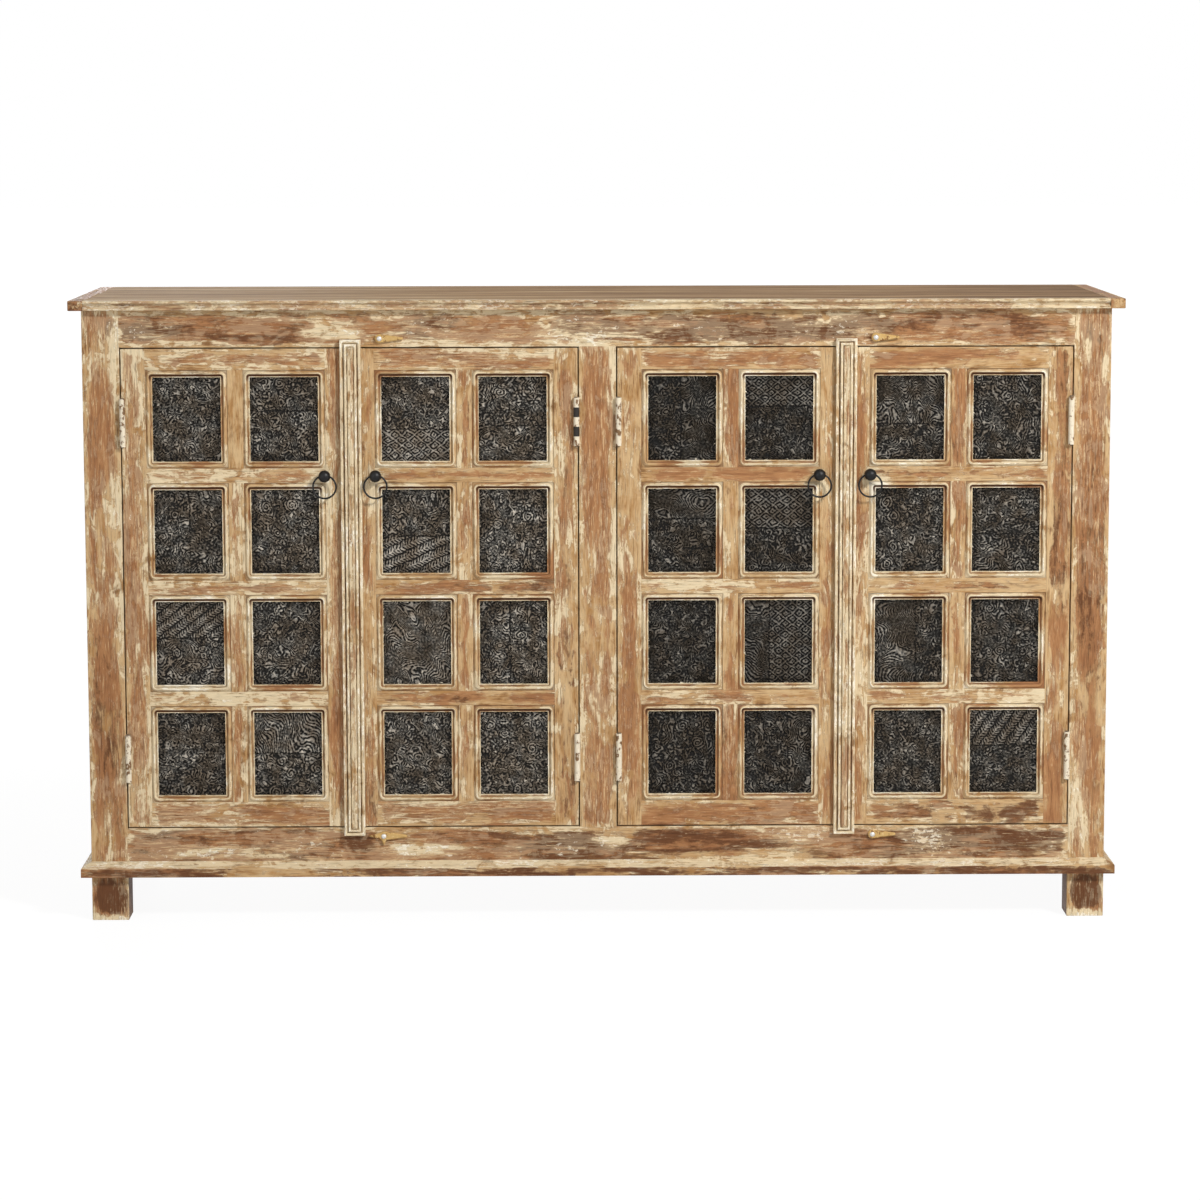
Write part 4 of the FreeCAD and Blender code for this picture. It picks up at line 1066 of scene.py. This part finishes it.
# Floor, light and camera
def stage_floor():
    mesh = bpy.data.meshes.new("floor")
    half = 40
    corners = [(-half, -half, 0), (half, -half, 0), (half, half, 0), (-half, half, 0)]
    mesh.from_pydata(corners, [], [(0, 1, 2, 3)])
    floor = add_object("floor", mesh)
    t = Tree(bpy.data.materials.new("pale_floor"))
    speck = t.step(t.noise(t.place(), 0.4, 2, 0.5), -0.3, 0.3)
    t.finish(Base_Color=t.mix(speck, (0.9, 0.9, 0.9, 1), (0.94, 0.94, 0.94, 1)), Roughness=0.8,
             Specular_IOR_Level=0.1)
    # to the camera the floor glows, so that it fades into the white background away from the cabinet
    glow = t.node("Emission", {"Color": (1, 1, 1, 1), "Strength": 1.04})
    away = t.node("VectorMath", {0: t.place()}, output=1, operation="LENGTH")
    share = t.times(t.seen(), t.step(away, 1.2, 3.2, 0.9, 1))
    mixed = t.node("MixShader", {0: share, 1: t.shader.outputs[0], 2: glow})
    t.put(t.nodes["Material Output"].inputs["Surface"], mixed)
    mesh.materials.append(t.owner)


def light(name, place, target, size, power):
    data = bpy.data.lights.new(name, "AREA")
    data.shape = "DISK"
    data.size = size
    data.energy = power
    lamp = add_object(name, data)
    lamp.location = place
    lamp.rotation_euler = (Vector(target) - Vector(place)).to_track_quat("-Z", "Y").to_euler()


def studio():
    """Surroundings that are white to the camera and give a soft light."""
    world = bpy.data.worlds.new("studio")
    bpy.context.scene.world = world
    t = Tree(world, "Background")
    strength = t.node("MapRange", {"Value": t.seen(), "To Min": 0.24, "To Max": 1})
    t.finish(Color=(1, 1, 1, 1), Strength=strength)


# Camera, from the lines of the cabinet in the photograph: image width and focal length in pixels,
# tilt, turn and roll in radians
IMAGE = 1200
FOCAL = 3827.35
PITCH, YAW, ROLL = 0.13092, 0.01125, -0.00201
PLACE = Vector((-0.06586, -6.16742 + FACE_Y, 1.33922))


def aim_camera():
    right = Vector((math.cos(YAW), -math.sin(YAW), 0))
    ahead = Vector((math.sin(YAW) * math.cos(PITCH), math.cos(YAW) * math.cos(PITCH), -math.sin(PITCH)))
    up = Vector((math.sin(YAW) * math.sin(PITCH), math.cos(YAW) * math.sin(PITCH), math.cos(PITCH)))
    right, up = right * math.cos(ROLL) + up * math.sin(ROLL), up * math.cos(ROLL) - right * math.sin(ROLL)
    lens = bpy.data.cameras.new("camera")
    lens.sensor_width = 36
    lens.lens = FOCAL / IMAGE * lens.sensor_width
    lens.clip_end = 200
    camera = add_object("camera", lens)
    camera.matrix_world = Matrix.Translation(PLACE) @ Matrix((right, up, -ahead)).transposed().to_4x4()
    bpy.context.scene.camera = camera
    bpy.context.scene.view_settings.view_transform = "Standard"


for door in DOORS:
    door_frame(door)
    door_panels(door)
for door in RIGHT_LEAVES:
    cover_strip(door)

for node in ("back_panel", "floor_board", "floor_cleats", "left_shelf", "right_shelf"):
    finish_node(node, INNER_X)
finish_node("shelf_cleats", INNER_Y)
finish_node("centre_partition", INNER_Z)
finish_node("frame_hinge_leaves", HINGE_PAINT)
finish_node("hinge_pins", PIN_IRON)
finish_node("button_screws", SCREW)
for corner in ("upper_left", "lower_left", "upper_right", "lower_right"):
    finish_node(corner + "_turn_button", BUTTON)
for door in DOORS:
    finish_node("door_%d_hinge_leaves" % door, DARK_HINGE if door == DARK_HINGED_DOOR else HINGE_PAINT)
    finish_node("door_%d_pull_ball" % door, BLACK_IRON)
    finish_node("door_%d_pull_ring" % door, BLACK_IRON)

stage_floor()
light("key", (3, -4, 3.9), (0.1, 0, 0.5), 0.9, 285)
light("fill", (-3.6, -4, 1.8), (-0.1, 0, 0.5), 2.4, 36)
light("back", (-1.2, 4.8, 0.75), (0, 0, 0.5), 1.4, 130)
studio()
aim_camera()
